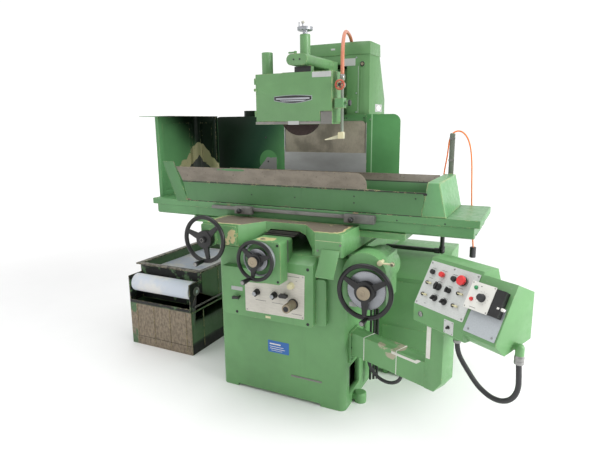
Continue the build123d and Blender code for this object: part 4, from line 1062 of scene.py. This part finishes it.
def column_trim():
    face, glass, card = front(0, 700, 0), front(232, 698.6, 1890), side(272, 0, 0)
    plate("column_label", rectangle(95, 186, 1883, 1926), face, 0.8, "label")
    plate("cap_label", rectangle(27, 54, 1980, 1990), front(0, 696, 0), 0.8, "label", radius=1)
    lathe("sight_glass", [(14.4, 0), (14.4, 3), (11, 4.6), (9.5, 3), (0, 3)], glass, "plastic", steps=32)
    lathe("sight_lens", [(9, 3), (8.5, 3.6), (5, 4.2), (0, 4.4)], glass, "cap", steps=32)
    plate("round_sticker_card", rectangle(838, 975, 1608, 1656), card, 0.5, "label")
    sticker = side(272, 906, 1632) @ Matrix.Diagonal((2.6, 1, 1, 1))
    lathe("round_sticker_ring", [(20, 0.5), (20, 0.8), (0, 0.8)], sticker, "print")
    lathe("round_sticker_disc", [(18, 0.8), (18, 1.1), (0, 1.1)], sticker, "white")
    screws("column_screws", face, [(193, 1929), (194, 1720), (194, 1606)], 5, "dial", height=2)
    plate("column_seam", rectangle(205, 207, 1600, 1880), face, 0.5, "label", radius=0.5)
    screws("frame_screws", front(0, 655, 0), [(134, 1570), (150, 1570), (262, 1570)], 4, "plastic",
           height=1.5)


head_trim()
column_trim()


# ---- table, tank and cabinet trim ----
def table_trim():
    knob = mirrored([(0, -15.2), (7.5, -13.4), (13.4, -7.5), (15.3, 0)])
    for dog, x in (("left_dog", -285), ("right_dog", 397)):
        lathe(dog + "_ball", knob, front(x, 78, 1052), "plastic", dog, 32)
        lathe(dog + "_boss", [(16, 0), (16, 2.5), (13, 4), (0, 4)], front(x, 102, 1052), "bar", dog, 28)
    chuck_low, chuck_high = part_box("magnetic_chuck")
    middle = Vector((0, chuck_low.y, (chuck_low.z + chuck_high.z) / 2))
    plate("chuck_plate", rectangle(-60, 60, -12, 12), place(middle, (1, 0, 0), (0, 0, 1)), 1.0, "dial",
          "table")
    clips = [(rectangle(782, 814, z - 6, z + 6), front(0, 604, 0), 0.0, 2.0, 0.5) for z in (1330, 1450)]
    plates("lead_clips", clips, "dull", "table")
    plate("wall_plug", rectangle(748, 768, 1188, 1200), front(0, 150, 0), 1.0, "plastic", "table", 5)


def filter_sheet():
    """Filter paper laid over the bed, sagging a little between its supports and curling at the front."""
    bm = bmesh.new()
    columns, rows = 24, 40
    x0, x1, y0, y1 = -1292, -792, 334, 1088
    grid = []
    for j in range(rows + 1):
        line = []
        for i in range(columns + 1):
            u, v = i / columns, j / rows
            z = 500 - 14 * math.sin(math.pi * u) * math.sin(math.pi * v)
            z += 2.2 * math.sin(9 * u + 5 * v) * math.sin(7 * v - 3 * u)
            z += 26 * max(0.0, 1 - v * 9) ** 2
            line.append(bm.verts.new(at(x0 + (x1 - x0) * u, y0 + (y1 - y0) * v, z)))
        grid.append(line)
    for a, b in zip(grid, grid[1:]):
        join(bm, a, b, wrap=False)
    bmesh.ops.solidify(bm, geom=bm.faces[:], thickness=0.0012)
    sheet = finish_piece(to_mesh(bm, "filter_sheet"), "filter_sheet", "paper", smooth=60)


def tank_trim():
    """Seams, chain rack and roll bearing on the tank."""
    right = side(-773, 0, 0)
    seams = [(rectangle(y - 2, y + 2, 335, 550), right, 0, 2.5, 0.6) for y in (520, 760, 980)]
    seams += [(rectangle(y - 3, y + 3, 20, 290), right, 0, 3, 0.6) for y in (330, 560, 820, 1080)]
    plates("tank_seams", seams + [(rectangle(212, 1110, 296, 306), right, 0, 4, 0.8)], "tank")
    links = [240 + 14.5 * i for i in range(58)]
    plates("tank_chain", [(rectangle(y, y + 9, 328, 340), right, 0, 5, 1.0) for y in links], "dull")
    bearing = [(30, 0), (30, 6), (22, 10), (13, 10), (13, 4), (12.4, 4), (12.4, 0)]
    lathe("roll_bearing", bearing, side(-773, 262, 440), "dull", steps=32)
    rivets = [(x, z) for x in (-1290, -1130, -960, -800) for z in (284, 92)]
    screws("tank_rivets", front(0, 195, 0), rivets, 4, "dull", height=2)


def cabinet_trim():
    """Door panels on the cabinet's front and louvres in its side."""
    doors = [(rounded(rectangle(450, 786, low, high), 6), front(0, 500, 0), 0, 2.0, 0.8)
             for low, high in ((70, 330), (350, 616))]
    plates("cabinet_doors", doors, "base")
    slats = [(rectangle(620, 900, 300 + 14 * i, 306 + 14 * i), side(806, 0, 0), 0, 3, 1.2) for i in range(12)]
    plates("cabinet_louvres", slats, "base")


def arm_trim():
    """Cable ties and the white trunking that runs along the arm and up its post."""
    foot, post = Vector((401, 115)), Vector((904, -90))
    along = (post - foot).normalized()
    across = Vector((-along.y, along.x))
    heading = (along.x, along.y, 0)
    for index, far in enumerate((120, 330)):
        spot = foot + along * far
        sides = []
        loop = [(spot + across * a, z) for a, z in rectangle(-42.6, 42.6, 314.4, 440.6)]
        for (p, z), (q, end_z) in zip(loop, loop[1:] + loop[:1]):
            start, end = at(p.x, p.y, z), at(q.x, q.y, end_z)
            run = end - start
            normal = run.cross(Vector(heading)).normalized()
            half = run.length / 2 / MM + 0.8
            sides.append((rectangle(-half, half, -1.8, 1.8), place((start + end) / 2, run, normal.cross(run)),
                          -0.8, 0.8, 0.3))
        plates(f"arm_tie_{index}", sides, "white", smooth=0)
    corner, start = post - across * 46, foot + along * 300 - across * 42
    plate("post_trunking", rectangle(-40, -18, 470, 640), place(at(*corner, 0), heading, (0, 0, 1)), 3.0,
          "strap", radius=3)
    outline = [(0, 418), (150, 418), (176, 440), (154, 440), (140, 430), (0, 430)]
    plate("arm_trunking", outline, place(at(*start, 0), heading, (0, 0, 1)), 2.5, "strap", radius=3)


table_trim()
filter_sheet()
tank_trim()
cabinet_trim()
arm_trim()


# ---- pendant ----
def on_pendant(name, profile, where, look="plastic", steps=24):
    lathe(name, profile, where, look, "pendant", steps)


def toggle(name, across, down):
    """Toggle switch: bushing, nut and a pale bat lever tipped over to the right."""
    base = [(8.5, 2), (8.5, 4), (7, 4.5), (6.5, 9), (5, 10), (0, 10)]
    on_pendant(name + "_bushing", base, panel(across, down), "black")
    lean = panel(across, down, 8) @ Matrix.Rotation(math.radians(84), 4, "Y")
    bat = [(2.6, 0), (3.4, 8), (4.6, 22), (4.8, 27), (3.2, 30), (0, 31)]
    on_pendant(name + "_lever", bat, lean, "cream", 20)


def selector(name, across, down, radius=12):
    """Rotary selector with a bar grip, fixed to the pendant."""
    body = [(radius + 2.5, 2), (radius + 2.5, 4), (radius, 5), (radius * 0.85, 19), (0, 20)]
    on_pendant(name + "_body", body, panel(across, down), steps=28)
    turned = panel(across, down) @ Matrix.Rotation(math.radians(-35), 4, "Z")
    grip = (rounded(rectangle(-3.2, 3.2, -radius, radius), 2.5), turned, 19, 27, 1.0)
    plates(name + "_grip", [grip], "plastic", "pendant")


def pendant_trim():
    face = panel(0, 0)
    key_face = place(pendant_point(0, -104, 0), pendant_point(1, 0, 0) - pendant_point(0, 0, 0), (0, 0, 1))
    plate("pendant_panel", rectangle(4, 276, -213, -4), face, 2.0, "panel", "pendant", 5)
    corners = [(13, -14), (140, -14), (266, -14), (13, -203), (266, -203)]
    screws("pendant_panel_screws", face, corners, 4, "steel", "pendant", 4)
    names = ((38, -36, 24), (95, -34, 30), (156, -36, 26), (38, -82, 22), (95, -86, 26), (155, -90, 22),
             (207, -84, 26), (100, -144, 26), (154, -146, 26))
    marks = [(*name, 1.6) for name in names]
    marks += arc_marks(95, -109, 25, 20, 160, 7) + arc_marks(155, -110, 20, 40, 140, 5)
    print_marks("pendant_marks", face, marks + [(60, -196, 8, 2)], "pendant")
    for index, (across, down) in enumerate(((28, 106), (204, 107), (28, 161), (202, 162))):
        toggle(f"toggle_{index}", across, down)
    selector("selector_lower_left", 100, 161)
    selector("selector_lower_right", 154, 162)
    button = [(13, 2), (13, 5), (11, 6), (11, 13), (9.5, 15), (0, 15.5)]
    on_pendant("cycle_button", button, panel(156, 55), steps=28)
    on_pendant("stop_collar", [(24, 2), (24, 4), (21, 5), (20, 2)], panel(207, 53), "steel", 36)
    plate("aluminium_panel", rectangle(292, 440, -240, -6), face, 2.0, "aluminium", "pendant", 3)
    ends = [(312, -20), (424, -20), (312, -226), (424, -226)]
    screws("aluminium_panel_screws", face, ends, 4.5, "steel", "pendant", 4)
    on_pendant("key_lock", [(13, 0), (13, 3), (10, 5), (9, 5), (8, 2), (0, 2)], spot_on(key_face, 43, -226),
               "steel", 28)
    plate("switch_plate", rectangle(181, 232, -262, -202), key_face, 1.5, "panel", "pendant", 3)
    on_pendant("plate_switch", [(8, 1.5), (8, 4), (6, 5), (5.5, 14), (4, 16), (0, 16)],
               spot_on(key_face, 206, -232))
    corners = [(187, -208), (226, -208), (187, -256), (226, -256)]
    screws("switch_plate_screws", key_face, corners, 2.6, "steel", "pendant", 3)


def feed_controller():
    """Small white-faced controller fixed on the aluminium panel, with the plug at its side."""
    face = panel(0, 0)
    plate("controller_body", rectangle(276, 430, -150, -42), face, 26, "plastic", "pendant", 4, 2)
    plate("controller_face", rectangle(270, 384, -152, -38), face, 2, "white", "pendant", 2, 28)
    corners = [(276, -44), (378, -44), (276, -146), (378, -146)]
    screws("controller_screws", spot_on(face, 0, 0, 30), corners, 2.6, "steel", "pendant", 2)
    lens = [(8.5, 30), (8.5, 33), (7, 36), (0, 37)]
    on_pendant("controller_green", lens, panel(296, 62), "green_lens")
    on_pendant("controller_red", lens, panel(294, 112), "red")
    knob = [(17, 30), (17, 34), (15, 36), (14, 48), (12.5, 50), (0, 50)]
    on_pendant("controller_knob", knob, panel(338, 96), "rubber", 36)
    marks = arc_marks(338, -96, 27, -60, 240, 11) + [(318, -52, 6, 3), (312, -142, 30, 1.6)]
    print_marks("controller_marks", face, marks, "pendant", 30.1)
    sideways = panel(414, 112, 20) @ Matrix.Rotation(math.radians(90), 4, "Y")
    plug = [(9, 0), (9, 10), (6.5, 12), (6.5, 26), (4.5, 30), (0, 30)]
    on_pendant("controller_plug", plug, sideways, "white")


def connector_trim():
    """Bright rings on the conduit's coupling and gland."""
    ring = [(11.4, 0), (18, 0), (19, 3), (19, 13), (18, 16), (19, 19), (19, 30), (17.4, 33), (17.4, 36),
            (11.4, 36)]
    on_pendant("coupling_nut", ring, Matrix.Translation(pendant_point(*CONDUIT[-1])), "steel", 36)
    nut = [(11.4, -2), (17, -2), (17.4, 2), (17.4, 10), (16, 12), (11.4, 12)]
    on_pendant("gland_nut", nut, Matrix.Translation(pendant_point(*CONDUIT[0])), "steel", 12)


pendant_trim()
feed_controller()
connector_trim()
